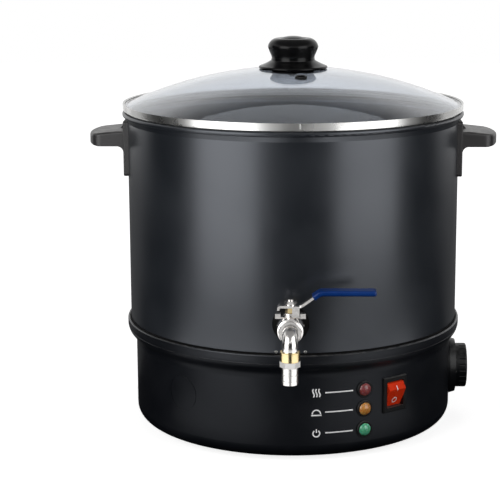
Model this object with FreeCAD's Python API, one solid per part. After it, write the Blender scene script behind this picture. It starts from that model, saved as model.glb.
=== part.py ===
import FreeCAD, Part
import math
import os

# Electric candle wax melter: a painted steel tank with a glass lid stands on a moulded base
# that holds the heater and its controls, and a ball valve with a hose tail drains the wax.
# Millimetres. +Z is up, the origin is on the table under the tank's centre, and the valve
# faces -Y. A bearing is an angle around +Z, counted from the front (-Y) towards +X.

# --- Driving dimensions -----------------------------------------------------------------------

# Small clearances
moving_gap = 0.3           # between pieces that move past each other
slip_fit = 0.05            # radial clearance of a turning fit
drop_in_gap = 0.2          # around a fixed piece that drops into a cut-out
drill_run = 30.0           # how far a hole's cutter reaches either side of a wall

# Tank
tank_radius = 175.0
tank_wall = 1.2
tank_skirt_lift = 3.0      # skirt's lower edge above the seam under the collar
tank_skirt = 14.0          # skirt below the floor
tank_floor = 1.5
tank_height = 210.5        # from the floor's underside to the bead's centre line
tank_flare = 7.9           # height over which the wall flares out to the bead
tank_corner = 4.0
bead_radius = 2.8
bead_outset = 2.5          # bead's centre line outside the wall

# Collar round the tank's foot, and the ring that carries the tank on the base
collar_height = 9.0
collar_gap = 0.35          # shadow gap around the tank
collar_width = 3.15
collar_edge = 1.2
collar_lead_in = 1.2
mounting_ring_wall = 1.5
mounting_ring_height = 16.0
mounting_ring_foot = 11.8  # width of the foot that rests on the base's ledge
mounting_screw_inset = 7.8
mounting_screw_count = 6
collar_screw_height = 2.9  # above the collar
collar_screw_pair = 4.7    # bearing of each screw either side of the pair's centre
collar_screw_pairs = 3

# Base shell
foot_height = 4.0
foot_ring_inset = 14.0     # foot ring's middle inside the cover's edge
foot_ring_width = 10.0
foot_peg_radius = 3.0
foot_peg_head = 1.5
foot_peg_count = 4
base_height = 101.0        # from the shell's lower edge to the seam under the collar
base_wall = 2.5
base_corner = 14.5         # rounded lower edge
ogee_height = 20.0         # S-shaped flare under the collar
ogee_above_seam = 3.0
ogee_swing = 8.8           # how far the flare stands out beyond the wall
ledge_width = 13.8
ledge_thickness = 2.5
seam_groove = 0.5
cover_inset = 17.7         # cover's edge inside the shell's wall
cover_lap = 9.0            # width of the shell's flange over the cover
cover_thickness = 1.5
cover_screw_inset = 4.5
cover_screw_count = 6
cover_boss_radius = 4.0
cover_boss_height = 6.0
vent_slot_count = 12
vent_slot_start = 60.0
vent_slot_length = 26.0
vent_slot_width = 4.5

# Heater and its trays
heating_plate_radius = 120.0
heating_plate_thickness = 6.0
element_inset = 25.0       # element's ring inside the plate's edge
element_radius = 4.0
element_seat = 1.5         # how far the element sinks into the plate
element_gap_angle = 30.0
element_bend = 12.0
element_tail = 10.0        # length below the shield
shield_thickness = 1.0
shield_inset = 9.0         # dish inside the ledge
shield_depth = 13.5
shield_flange_edge = 4.0   # flange beyond its screws
pad_thickness = 16.0
pad_gap = 2.0
cutout_radius = 9.0
cutout_height = 8.0
cutout_blade = 6.0
bulb_radius = 3.0
bulb_length = 60.0
bulb_seat = 1.0
bulb_offset = 40.0
capillary_radius = 1.0
capillary_lead = 12.0      # straight run out of the bulb
tray_hole_gap = 2.0        # round each tail that passes through the trays

# Thermostat and dial
dial_height = 54.6
dial_bearing = 90.0
bezel_radius = 30.4
bezel_taper = 1.8
bezel_reach = 6.3          # face beyond the base's wall
bezel_recess = 2.2
bezel_recess_radius = 21.0
dial_radius = 23.85
dial_thickness = 12.2
dial_edge = 2.0
dial_flute_count = 24
dial_flute_radius = 1.2
dial_pointer_width = 2.4
dial_pointer_depth = 1.0
shaft_radius = 3.0
shaft_engagement = 9.0
thermostat_width = 30.0
thermostat_height = 40.0
thermostat_depth = 30.0
thermostat_plate = 2.0
thermostat_screw_spacing = 28.0

# Rocker switch
switch_bearing = 37.85
switch_height = 62.6
switch_frame_side = 1.3    # frame's edge beyond the body
switch_frame_end = 2.1
switch_frame_edge = 1.0
switch_frame_reach = 2.0
switch_body_depth = 22.0
switch_body_wall = 2.6
rocker_width = 21.0
rocker_side_gap = 0.4
rocker_end_radius = 13.2
rocker_pivot_depth = 6.5
rocker_pin_radius = 1.5
rocker_pin_bite = 1.2
rocker_low_end = 4.8       # rocker's pressed end inside the frame's face
rocker_crest = 4.0
rocker_crest_height = 5.6
rocker_high_end = 0.3      # its other end inside the frame's face
rocker_depth = 8.0
blade_width = 6.3
blade_thickness = 0.8
blade_length = 8.0
blade_spacing = 9.0

# Signal lamps
lamp_bearing = 25.6
lamp_heights = {"red": 72.8, "amber": 52.7, "green": 31.1}
lamp_lens_radius = 6.35
lamp_dome = 3.4
lamp_flange_width = 2.1
lamp_flange_reach = 2.0
lamp_barrel_step = 0.7     # barrel's radius inside the lens's
lamp_barrel_length = 16.0
lamp_wall = 1.0
lamp_nut_width = 2.8
lamp_nut_thickness = 4.5

# Round moulding mark on the left of the base
mark_bearing = -40.7
mark_height = 60.4
mark_radius = 18.5
mark_line = 0.8
mark_depth = 0.4

# Mains inlet at the back
inlet_bearing = 180.0
inlet_height = 46.0
inlet_pad_width = 60.0
inlet_pad_height = 36.0
inlet_pad_reach = 1.8
inlet_flange_width = 48.0
inlet_flange_height = 28.0
inlet_flange_thickness = 3.0
inlet_flange_corner = 4.0
inlet_socket_width = 24.6
inlet_socket_height = 17.4
inlet_socket_depth = 16.0
inlet_body_wall = 1.7
inlet_body_back = 3.0      # wall behind the socket
inlet_pin_height = 4.0
inlet_pin_thickness = 2.0
inlet_pin_length = 13.0
inlet_pin_tail = 9.0
inlet_pin_spacing = 14.0
inlet_earth_rise = 4.0
inlet_screw_spacing = 38.0

# Terminal block and wiring
terminal_length = 50.0
terminal_width = 22.0
terminal_height = 16.0
terminal_edge = 1.5
terminal_distance = 95.0   # behind the tank's axis
wire_radius = 1.4
wire_bend = 8.0
switch_lead_places = (19.0, 23.0)   # along the block
thermostat_lead_offset = 8.0

# Handles, measured from the tank's wall and bead
handle_drop = 20.1         # grip's top below the bead's top
handle_thickness = 15.7
handle_half_width = 33.0
handle_reach = 40.4
handle_nose_bow = 8.0      # how far the nose bows out beyond its corners
handle_nose_corner = 10.0
handle_nose_drop = 3.2
handle_nose_lift = 2.6
handle_nose_length = 11.5  # run over which the grip's underside rises to the nose
handle_plate_drop = 9.3    # plate's top below the bead's top
handle_plate_height = 58.0
handle_plate_thickness = 2.4
handle_plate_margin = 1.0  # plate wider than the grip, each side
handle_plate_edge = 1.2
handle_root = 7.0
handle_edge = 3.0
handle_root_wall = 8.0     # between the plate and the pocket
handle_nose_wall = 7.5
handle_side_wall = 5.5
handle_roof = 4.6
handle_pocket_corner = 9.0
handle_screw_bearing = 8.0
handle_screw_rise = 6.0    # above the grip's underside
handle_screw_engagement = 9.5

# Valve, measured from its own axis
valve_rise = 24.0          # valve's axis above the tank's floor underside
gasket_radius = 18.2
gasket_thickness = 2.5
washer_thickness = 3.0
washer_radius = 17.0
locknut_across_flats = 27.0
locknut_thickness = 5.5
nipple_radius = 9.5
nipple_stub = 4.3          # nipple beyond its locknut, inside the tank
flow_radius = 5.2
valve_hex_across_flats = 23.0
valve_hex_length = 6.5
valve_neck_run = 2.5       # between the hexagon and the chamber
valve_barrel_radius = 13.0
valve_neck_radius = 11.6
valve_half_length = 8.5    # from the stem to the chamber's ends
chamber_radius = 9.8
ball_radius = 8.6
seat_depth = 4.0
end_cap_length = 8.5
end_cap_radius = 12.4
end_ring_step = 1.1        # end ring's radius inside the cap's
end_ring_length = 3.6
end_ring_groove = 0.8
end_ring_edge = 0.6
stem_radius = 3.0
stem_boss_radius = 5.8
stem_boss_height = 16.0
lug_clear = 0.7            # between the lever's stop tab and the lugs
lug_thickness = 5.3
lug_half_width = 3.4
lug_bottom = 10.6
lug_web_top = 12.4
lug_top = 15.5
gland_across_flats = 9.0
gland_height = 5.1
stem_nut_across_flats = 10.0
stem_nut_height = 4.2
stem_nut_collar = 1.1
stem_top_clear = 1.2

# Spout
pipe_radius = 7.7
pipe_bore = 6.0
elbow_bend = 12.0
elbow_entry = 5.0          # pipe's bite into the end cap
pipe_drop = 18.9           # pipe's end below the valve's axis
coupler_width = 1.9        # ring's thickness round the pipe
coupler_height = 9.7
coupler_lap = 4.3          # ring above the pipe's end
coupler_chamfer = 0.4
tail_hex_across_flats = 17.0
tail_hex_height = 5.8
tail_length = 17.5
tail_radius = 7.95
tail_chamfer = 0.8
tail_bore = 5.0
tail_groove_places = (7.0, 12.8)   # below the hexagon
tail_groove = 0.3

# Lever, measured from the stem
lever_thickness = 2.4
lever_lift = 0.5           # above the gland nut
lever_half_width = 6.0
lever_neck_half_width = 4.2
lever_neck_taper = 3.0
lever_blade_half_width = 5.6
lever_blade_taper = 6.0
lever_hook_reach = 12.8
lever_hook_drop = 3.5
lever_hook_bend = 2.2      # radius of the sheet's middle round the hook
lever_bend_start = 10.5
lever_rise = 13.4
lever_rise_run = 18.5
lever_bend = 8.0           # radius of its middle at either end of the rise
lever_length = 77.3
lever_tab_clear = 0.6      # round the stem's boss
lever_tab_width = 7.0
sleeve_start = 12.0        # beyond the lever's first bend
sleeve_overhang = 5.5      # beyond the lever's tip
sleeve_wall = 1.5
sleeve_half_width = 7.7
sleeve_edge = 2.2

# Lid
lid_gap = 0.3              # band above the tank's bead
band_sheet = 0.6
band_inset = 0.5           # band's edge inside the bead's
band_crown = 1.2           # band's edge above the glass's rim
band_top_width = 2.2
band_floor = 2.9           # width of the channel's floor, which the glass stands on
band_floor_rise = 1.9      # channel above the shelf that rests on the bead
band_lip_gap = 2.6         # lip inside the tank's wall
band_lip_depth = 3.4
glass_thickness = 4.0
glass_edge_gap = 0.4
glass_land = 5.2           # flat rim of the glass and its edge gap, inside the band
glass_rise = 37.6
skirt_radius = 36.4
skirt_edge_height = 1.8
skirt_edge = 2.0
skirt_sweep_out = 5.2      # where the skirt's slope turns up to the neck
skirt_sweep_down = 3.0
knob_neck_radius = 23.2
knob_neck_rise = 7.3       # bottom of the neck above the glass's top
knob_neck_height = 5.4
knob_neck_waist = 0.5
knob_step_out = 0.3        # step from the neck to the head
knob_step_up = 0.8
knob_head_radius = 26.6
knob_head_rise = 21.3      # widest level above the glass's top
knob_belly = 1.4
knob_brow_in = 3.4         # point on the rounded edge over the widest level
knob_brow_up = 6.4
knob_crown_radius = 13.8
knob_crown_rise = 2.4
knob_height = 32.5         # knob's top above the glass's top
knob_screw_radius = 2.5
knob_screw_depth = 24.0
knob_sleeve_radius = 4.0
knob_washer_radius = 22.4
knob_washer_thickness = 3.5
vent_x = 9.0
vent_y = -61.0
vent_flange_width = 1.0
vent_flange = 0.8
vent_sleeve_radius = 5.2
vent_bore = 4.0

# Screws
collar_screw = {"shank": 1.1, "head": 1.6, "height": 1.0}
panel_screw = {"shank": 1.5, "head": 3.2, "height": 1.8}
case_screw = {"shank": 1.8, "head": 3.5, "height": 1.8}
knob_screw = {"shank": knob_screw_radius, "head": 5.0, "height": 2.6}
handle_screw = {"shank": 2.5, "head": 5.0, "height": 2.5}
screw_bite = 4.0

# --- Levels and places that follow from them --------------------------------------------------

tank_inner = tank_radius - tank_wall
collar_radius = tank_radius + collar_gap + collar_width
base_radius = collar_radius - ogee_swing
base_inner = base_radius - base_wall
ledge_radius = tank_inner - ledge_width
mounting_screw_circle = tank_inner - mounting_screw_inset
cover_radius = base_radius - cover_inset
base_flange_radius = cover_radius - cover_lap
cover_screw_circle = cover_radius - cover_screw_inset
foot_ring_radius = cover_radius - foot_ring_inset

base_bottom = foot_height
seam_z = base_bottom + base_height
collar_top = seam_z + collar_height
ogee_top = seam_z + ogee_above_seam
ogee_bottom = ogee_top - ogee_height
skirt_z = seam_z + tank_skirt_lift
floor_z = skirt_z + tank_skirt
bead_z = floor_z + tank_height
bead_top = bead_z + bead_radius
ledge_bottom = seam_z - ledge_thickness
cover_top = base_bottom + cover_thickness
flange_top = cover_top + base_wall

plate_bottom = floor_z - heating_plate_thickness
element_ring_radius = heating_plate_radius - element_inset
element_z = plate_bottom + element_seat - element_radius
bulb_z = plate_bottom + bulb_seat - bulb_radius
shield_radius = ledge_radius - shield_inset
shield_flange_radius = mounting_screw_circle + shield_flange_edge
shield_floor = ledge_bottom - shield_depth - shield_thickness
element_tail_bottom = shield_floor - element_tail
pad_radius = shield_radius - shield_thickness - pad_gap
pad_bottom = shield_floor + shield_thickness

bezel_face = base_radius + bezel_reach
lamp_flange_radius = lamp_lens_radius + lamp_flange_width
lamp_barrel_radius = lamp_lens_radius - lamp_barrel_step
inlet_panel = base_radius + inlet_pad_reach
inlet_front = inlet_panel + inlet_flange_thickness
inlet_back = inlet_front - inlet_socket_depth - inlet_body_back

handle_top = bead_top - handle_drop
handle_bottom = handle_top - handle_thickness
handle_plate_top = bead_top - handle_plate_drop
handle_plate_bottom = handle_plate_top - handle_plate_height
handle_plate_face = tank_radius + handle_plate_thickness
handle_screw_height = handle_bottom + handle_screw_rise
handle_nose = tank_radius + handle_reach

valve_height = floor_z + valve_rise
valve_start = tank_radius + gasket_thickness
locknut_face = tank_inner - washer_thickness
nipple_inside = locknut_face - locknut_thickness - nipple_stub
chamber_start = valve_start + valve_hex_length + valve_neck_run
stem_distance = chamber_start + valve_half_length
chamber_end = stem_distance + valve_half_length
elbow_start = chamber_end + end_cap_length
spout_distance = elbow_start + elbow_bend
stem_boss_top = valve_height + stem_boss_height
pipe_bottom = valve_height - pipe_drop
coupler_top = pipe_bottom + coupler_lap
coupler_bottom = coupler_top - coupler_height
tail_hex_bottom = coupler_bottom - tail_hex_height
tail_bottom = tail_hex_bottom - tail_length

lever_plate_bottom = stem_boss_top + gland_height + lever_lift
lever_plate_top = lever_plate_bottom + lever_thickness
lever_tab_near = stem_boss_radius + lever_tab_clear
lever_tab_far = lever_tab_near + lever_thickness
lug_inner = lever_tab_far + lug_clear
lever_bend_end = lever_bend_start + lever_rise_run

band_radius = tank_radius + bead_outset + bead_radius - band_inset
band_bottom = bead_top + lid_gap
band_lip_radius = tank_inner - band_lip_gap
channel_bottom = band_bottom + band_floor_rise
glass_seat = channel_bottom + band_sheet
glass_land_top = glass_seat + glass_thickness
glass_land_radius = band_radius - glass_land
glass_top = glass_land_top + glass_rise
band_top = glass_land_top + band_crown

V = FreeCAD.Vector
ORIGIN = V(0, 0, 0)
UP = V(0, 0, 1)
EPSILON = 1e-3


# --- Shape helpers ----------------------------------------------------------------------------

def rod(radius, low, high, x=0.0, y=0.0):
    return Part.makeCylinder(radius, high - low, V(x, y, low))


def tube(outer, inner, low, high, x=0.0, y=0.0):
    return rod(outer, low, high, x, y).cut(rod(inner, low, high, x, y))


def block(x, y, z):
    """Box between pairs of limits along each axis."""
    return Part.makeBox(x[1] - x[0], y[1] - y[0], z[1] - z[0], V(x[0], y[0], z[0]))


def centred(width, depth, low, high):
    return block((-width / 2, width / 2), (-depth / 2, depth / 2), (low, high))


def hexagon(across_flats, low, high, x=0.0, y=0.0):
    corner = across_flats / math.sqrt(3)
    turns = [math.radians(60 * i) for i in range(7)]
    points = [V(x + corner * math.cos(a), y + corner * math.sin(a), low) for a in turns]
    return Part.Face(Part.makePolygon(points)).extrude(V(0, 0, high - low))


def face_xz(start, *steps):
    """Face in the XZ plane. A step is a point, or a pair of points that an arc runs through."""
    edges = []
    here = start
    for step in steps + (start,):
        bent = isinstance(step[0], tuple)
        there = step[1] if bent else step
        ends = V(here[0], 0, here[1]), V(there[0], 0, there[1])
        if bent:
            edges.append(Part.Arc(ends[0], V(step[0][0], 0, step[0][1]), ends[1]).toShape())
        elif math.dist(here, there) > 1e-6:
            edges.append(Part.makeLine(*ends))
        here = there
    return Part.Face(Part.Wire(edges))


def turned(start, *steps):
    """Solid of revolution about +Z from an outline in the XZ plane."""
    return face_xz(start, *steps).revolve(ORIGIN, UP, 360)


def on_arc(x, z, radius, degrees):
    angle = math.radians(degrees)
    return x + radius * math.cos(angle), z + radius * math.sin(angle)


def dome_radius(foot, rise):
    """Radius of the sphere whose cap has this foot radius and rise."""
    return (foot ** 2 + rise ** 2) / (2 * rise)


def dome_arc(foot, level, rise):
    """Arc from the foot of a dome up to its top on the axis."""
    radius = dome_radius(foot, rise)
    half = math.degrees(math.asin(foot / radius)) / 2
    return on_arc(0, level + rise - radius, radius, 90 - half), (0, level + rise)


def strip(points, thickness):
    """Outline of a folded sheet whose middle runs through the points, with mitred corners."""
    left, right = [], []
    for i, point in enumerate(points):
        before = points[max(i - 1, 0)]
        after = points[min(i + 1, len(points) - 1)]
        into = unit(before, point) if i > 0 else unit(point, after)
        out = unit(point, after) if i < len(points) - 1 else into
        normal = (-(into[1] + out[1]), into[0] + out[0])
        scale = thickness / (normal[0] * -into[1] + normal[1] * into[0]) / 2
        left.append((point[0] + normal[0] * scale, point[1] + normal[1] * scale))
        right.append((point[0] - normal[0] * scale, point[1] - normal[1] * scale))
    return left + right[::-1]


def unit(start, end):
    length = math.dist(start, end)
    return (end[0] - start[0]) / length, (end[1] - start[1]) / length


def beside(point, along, run, offset):
    """Point a distance along a direction, and then off to the left of it."""
    return (point[0] + run * along[0] - offset * along[1],
            point[1] + run * along[1] + offset * along[0])


def bent_side(points, bends, offset):
    """Steps along one face of a bent sheet, off to the left of its middle line."""
    steps = [beside(points[0], unit(points[0], points[1]), 0, offset)]
    for before, corner, after, bend in zip(points, points[1:], points[2:], bends):
        into, out = unit(before, corner), unit(corner, after)
        turn = math.atan2(into[0] * out[1] - into[1] * out[0],
                          into[0] * out[0] + into[1] * out[1])
        reach = bend * math.tan(abs(turn) / 2)
        halfway = unit(beside(corner, into, -1, 0), beside(corner, out, 1, 0))
        rise = math.copysign(bend / math.cos(turn / 2) - bend, turn)
        middle = beside(corner, halfway, 0, rise + offset)
        steps += [beside(corner, into, -reach, offset),
                  (middle, beside(corner, out, reach, offset))]
    return steps + [beside(points[-1], unit(points[-2], points[-1]), 0, offset)]


def bent_strip(points, bends, thickness):
    """Face of a sheet whose middle runs through the points, bent to a radius at each corner."""
    return face_xz(*bent_side(points, bends, thickness / 2)
                   + bent_side(points[::-1], bends[::-1], thickness / 2))


def extruded(face, half_depth):
    """Solid from an XZ face, spread evenly either side of Y = 0."""
    slab = face.extrude(V(0, 2 * half_depth, 0))
    slab.translate(V(0, -half_depth, 0))
    return slab


def outward(shape, height, bearing=0.0):
    """Turn a piece whose +Z points away from the tank's axis so that it faces a bearing."""
    placed = shape.copy()
    placed.rotate(ORIGIN, V(1, 0, 0), 90)
    placed.translate(V(0, 0, height))
    placed.rotate(ORIGIN, UP, bearing)
    return placed


def around(shape, count, first=0.0):
    """Copies of a piece at even bearings, as one group of separate solids."""
    copies = []
    for i in range(count):
        copy = shape.copy()
        copy.rotate(ORIGIN, UP, first + 360.0 * i / count)
        copies.append(copy)
    return Part.makeCompound(copies)


def joined(shapes):
    return shapes[0].multiFuse(shapes[1:]).removeSplitter()


def screw(size, length):
    """Pan-head screw: the head stands on z = 0 and the shank hangs below it."""
    head, height, shank = size["head"], size["height"], size["shank"]
    rim, flat = height * 2 / 3, head / 2
    shoulder = (head + flat) / 2 + head / 12, height - height / 12
    body = turned((0, -length), (shank, -length), (shank, 0), (head, 0), (head, rim),
                  (shoulder, (flat, height)), (0, height))
    slot = head, head / 5
    for width, depth in (slot, slot[::-1]):
        body = body.cut(centred(width, depth, height / 2, height + 1))
    return body


def upside_down(shape, level):
    """Flip a piece about its z = 0 plane and set that plane at a level."""
    flipped = shape.copy()
    flipped.rotate(ORIGIN, V(1, 0, 0), 180)
    flipped.translate(V(0, 0, level))
    return flipped


def shifted(shape, x=0.0, y=0.0, z=0.0):
    moved = shape.copy()
    moved.translate(V(x, y, z))
    return moved


def bent_rod(points, radius, bend):
    """Rod along straight runs joined by tangent arcs."""
    path = []
    here = points[0]
    for before, corner, after in zip(points, points[1:], points[2:]):
        into = (corner - before).normalize()
        out = (after - corner).normalize()
        half_turn = into.getAngle(out) / 2
        reach = bend * math.tan(half_turn)
        start = corner - into * reach
        end = corner + out * reach
        inward = (out - into).normalize()
        middle = corner + inward * (bend / math.cos(half_turn) - bend)
        path.append(Part.makeLine(here, start))
        path.append(Part.Arc(start, middle, end).toShape())
        here = end
    path.append(Part.makeLine(here, points[-1]))
    section = Part.Wire(Part.makeCircle(radius, points[0], points[1] - points[0]))
    return Part.Wire(path).makePipeShell([section], True, True)


# --- Base -------------------------------------------------------------------------------------

def ogee_curve():
    """Radius of each of the flare's two arcs."""
    return (ogee_swing ** 2 + ogee_height ** 2) / (4 * ogee_swing)


def base_envelope():
    """Outer form of the base and collar, filled."""
    corner = base_radius - base_corner, base_bottom + base_corner
    curve = ogee_curve()
    half = math.degrees(math.asin(ogee_height / 2 / curve))
    low_centre = base_radius + curve, ogee_bottom
    high_centre = collar_radius - curve, ogee_top
    edge = collar_radius - collar_edge, collar_top - collar_edge
    return turned(
        (0, base_bottom), (corner[0], base_bottom),
        (on_arc(*corner, base_corner, -45), (base_radius, corner[1])),
        (base_radius, ogee_bottom),
        (on_arc(*low_centre, curve, 180 - half / 2), on_arc(*low_centre, curve, 180 - half)),
        (on_arc(*high_centre, curve, -half / 2), (collar_radius, ogee_top)),
        (collar_radius, edge[1]),
        (on_arc(*edge, collar_edge, 45), (edge[0], collar_top)), (0, collar_top))


def base_cavity():
    """Hollow of the base shell, between its lower flange and the ledge."""
    corner_x = base_radius - base_corner
    corner_z = base_bottom + base_corner
    curve = base_corner - base_wall
    start = corner_x + math.sqrt(curve ** 2 - (corner_z - flange_top) ** 2)
    slope = math.degrees(math.asin((flange_top - corner_z) / curve))
    shoulder = collar_radius - 3 * base_wall
    return turned(
        (0, flange_top), (start, flange_top),
        (on_arc(corner_x, corner_z, curve, slope / 2), (base_inner, corner_z)),
        (base_inner, ogee_bottom), (shoulder, ledge_bottom - base_wall),
        (shoulder, ledge_bottom), (0, ledge_bottom))


def seam_radius():
    """Radius of the flare at the seam between base and collar."""
    curve = ogee_curve()
    return collar_radius - curve + math.sqrt(curve ** 2 - ogee_above_seam ** 2)


def radial_hole(radius, height, bearing, offset=0.0):
    """Cutter for a round hole through the wall of the base or the tank."""
    cutter = rod(radius, base_inner - drill_run, tank_radius + drill_run, x=offset)
    return outward(cutter, height, bearing)


def panel_cut(width, height_size, height, bearing):
    """Cutter for a rectangular hole through the base's wall."""
    cutter = centred(width, height_size, base_inner - drill_run, tank_radius + drill_run)
    return outward(cutter, height, bearing)


def inlet_pad():
    """Plane panel that the mains inlet is mounted on."""
    pad = centred(inlet_pad_width, inlet_pad_height, base_inner - base_wall, inlet_panel)
    return outward(pad, inlet_height, inlet_bearing)


def base_shell():
    shell = base_envelope().common(rod(collar_radius + 1, base_bottom, seam_z))
    shell = shell.fuse(inlet_pad()).removeSplitter()
    boss = rod(cover_boss_radius, flange_top - base_wall / 2, flange_top + cover_boss_height,
               y=-cover_screw_circle)
    bosses = around(boss, cover_screw_count)
    holes = [
        base_cavity().cut(inlet_pad()).cut(bosses),
        rod(base_flange_radius, base_bottom, flange_top),
        rod(cover_radius, base_bottom, cover_top),
        rod(ledge_radius, ledge_bottom, seam_z),
        Part.makeTorus(seam_radius(), seam_groove, V(0, 0, seam_z)),
        around(rod(case_screw["shank"], base_bottom, cover_top + screw_bite + base_wall,
                   y=-cover_screw_circle), cover_screw_count),
        around(rod(case_screw["shank"], ledge_bottom, seam_z, y=-mounting_screw_circle),
               mounting_screw_count),
        outward(tube(mark_radius, mark_radius - mark_line, base_inner, base_radius),
                mark_height, mark_bearing).cut(rod(base_radius - mark_depth, base_bottom, seam_z)),
        radial_hole(shaft_radius + 2 * drop_in_gap, dial_height, dial_bearing),
        panel_cut(inlet_body_width() + 2 * drop_in_gap, inlet_body_height() + 2 * drop_in_gap,
                  inlet_height, inlet_bearing),
        panel_cut(switch_body_width() + 2 * drop_in_gap, switch_body_height() + 2 * drop_in_gap,
                  switch_height, switch_bearing),
    ]
    for side in (-1, 1):
        holes.append(radial_hole(panel_screw["shank"], dial_height
                                 + side * thermostat_screw_spacing / 2, dial_bearing))
        holes.append(radial_hole(panel_screw["shank"], inlet_height, inlet_bearing,
                                 side * inlet_screw_spacing / 2))
    for height in lamp_heights.values():
        holes.append(radial_hole(lamp_barrel_radius + drop_in_gap, height, lamp_bearing))
    return shell.cut(holes)


def collar_ring():
    inner = tank_radius + collar_gap
    bore = turned((0, seam_z), (inner, seam_z), (inner, collar_top - collar_lead_in),
                  (inner + collar_lead_in, collar_top), (0, collar_top))
    ring = base_envelope().common(rod(collar_radius + 1, seam_z, collar_top))
    return ring.cut([bore, Part.makeTorus(seam_radius(), seam_groove, V(0, 0, seam_z))])


def foot_ring():
    inner = foot_ring_radius - foot_ring_width / 2
    outer = foot_ring_radius + foot_ring_width / 2
    peg = turned((0, foot_height), (foot_peg_radius, foot_height), (foot_peg_radius, cover_top),
                 (foot_peg_radius + foot_peg_head, cover_top),
                 (foot_peg_radius, cover_top + 2 * foot_peg_head), (0, cover_top + 2 * foot_peg_head))
    pegs = around(shifted(peg, y=-foot_ring_radius), foot_peg_count, 45)
    return tube(outer, inner, 0, foot_height).fuse(pegs.Solids).removeSplitter()


def bottom_cover():
    plate = rod(cover_radius, base_bottom, cover_top)
    slot = block((-vent_slot_width / 2, vent_slot_width / 2),
                 (vent_slot_start, vent_slot_start + vent_slot_length), (base_bottom, cover_top))
    return plate.cut([
        around(rod(case_screw["shank"], base_bottom, cover_top, y=-cover_screw_circle),
               cover_screw_count),
        around(rod(foot_peg_radius, base_bottom, cover_top, y=-foot_ring_radius),
               foot_peg_count, 45),
        around(slot, vent_slot_count)])


def cover_screws():
    fastener = upside_down(screw(case_screw, cover_thickness + base_wall + screw_bite), base_bottom)
    return around(shifted(fastener, y=-cover_screw_circle), cover_screw_count)


def mounting_ring():
    outer = tank_inner
    inner = outer - mounting_ring_wall
    foot_inner = outer - mounting_ring_foot
    top = seam_z + mounting_ring_height
    ring = turned((foot_inner, seam_z), (outer, seam_z), (outer, top), (inner, top),
                  (inner, seam_z + mounting_ring_wall), (foot_inner, seam_z + mounting_ring_wall))
    holes = [around(rod(case_screw["shank"], seam_z, seam_z + mounting_ring_wall,
                        y=-mounting_screw_circle), mounting_screw_count)]
    return ring.cut(holes + collar_screw_holes())


def mounting_screws():
    length = shield_thickness + ledge_thickness + mounting_ring_wall + screw_bite / 2
    fastener = upside_down(screw(case_screw, length), ledge_bottom - shield_thickness)
    return around(shifted(fastener, y=-mounting_screw_circle), mounting_screw_count)


def collar_screw_bearings():
    pairs = [360.0 * i / collar_screw_pairs for i in range(collar_screw_pairs)]
    return [pair + side * collar_screw_pair for pair in pairs for side in (-1, 1)]


def collar_screw_holes():
    height = collar_top + collar_screw_height
    return [radial_hole(collar_screw["shank"], height, bearing)
            for bearing in collar_screw_bearings()]


def collar_screws():
    height = collar_top + collar_screw_height
    fastener = shifted(screw(collar_screw, tank_wall + mounting_ring_wall + screw_bite / 2),
                       z=tank_radius)
    return Part.makeCompound([outward(fastener, height, bearing)
                              for bearing in collar_screw_bearings()])


# --- Tank and heater --------------------------------------------------------------------------

def tank_inside(top):
    """The wax's space, with rounded lower corners."""
    low = floor_z + tank_floor
    corner = tank_inner - tank_corner, low + tank_corner
    return turned((0, low), (corner[0], low),
                  (on_arc(*corner, tank_corner, -45), (tank_inner, corner[1])),
                  (tank_inner, top), (0, top))


def tank_blank():
    """Tank with its skirt and rolled bead, before its holes are drilled."""
    straight_top = bead_z - tank_flare
    middle = tank_radius - tank_wall / 2
    wall = rod(tank_radius, skirt_z, straight_top).cut(
        [tank_inside(straight_top), rod(tank_inner, skirt_z, floor_z)])
    flare = face_xz(*strip([(middle, straight_top - tank_wall), (middle, straight_top),
                            (tank_radius + bead_outset, bead_z)], tank_wall))
    flare = flare.revolve(ORIGIN, UP, 360)
    bead = Part.makeTorus(tank_radius + bead_outset, bead_radius, V(0, 0, bead_z))
    return joined([wall, flare, bead])


def tank():
    holes = collar_screw_holes() + handle_screw_holes(tank_radius + drill_run)
    holes.append(radial_hole(nipple_radius, valve_height, 0))
    return tank_blank().cut(holes)


def element_path():
    """Almost closed ring under the tank whose two ends turn down."""
    half_gap = element_gap_angle / 2
    ends = [math.radians(90 + side * half_gap) for side in (1, -1)]
    ring_ends = [V(element_ring_radius * math.cos(a), element_ring_radius * math.sin(a), element_z)
                 for a in ends]
    ring = Part.Arc(ring_ends[0], V(0, -element_ring_radius, element_z), ring_ends[1]).toShape()
    tails = []
    for end, angle, side in zip(ring_ends, ends, (1, -1)):
        along = V(math.sin(angle), -math.cos(angle), 0) * side
        centre = end - UP * element_bend
        middle = centre + (along + UP).normalize() * element_bend
        turn_end = centre + along * element_bend
        bottom = V(turn_end.x, turn_end.y, element_tail_bottom)
        tails.append([Part.Arc(end, middle, turn_end).toShape(), Part.makeLine(turn_end, bottom)])
    return ring, tails, ring_ends


def element_tail_places():
    return [V(tail[1].Vertexes[0].X, tail[1].Vertexes[0].Y, 0) for tail in element_path()[1]]


def heating_element():
    ring, tails, ring_ends = element_path()
    start = ring.valueAt(ring.FirstParameter)
    section = Part.Wire(Part.makeCircle(element_radius, start, ring.tangentAt(ring.FirstParameter)))
    pieces = [Part.Wire([ring]).makePipeShell([section], True, True)]
    for (curve, line), end in zip(tails, ring_ends):
        tangent = curve.tangentAt(curve.FirstParameter)
        section = Part.Wire(Part.makeCircle(element_radius, end, tangent))
        pieces.append(Part.Wire([curve, line]).makePipeShell([section], True, True))
    return joined(pieces)


def sensing_bulb():
    bulb = Part.makeCylinder(bulb_radius, bulb_length, V(bulb_offset, -bulb_length / 2, bulb_z),
                             V(0, 1, 0))
    return bulb


def heating_plate():
    plate = rod(heating_plate_radius, plate_bottom, floor_z)
    return plate.cut([heating_element(), sensing_bulb()])


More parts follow.
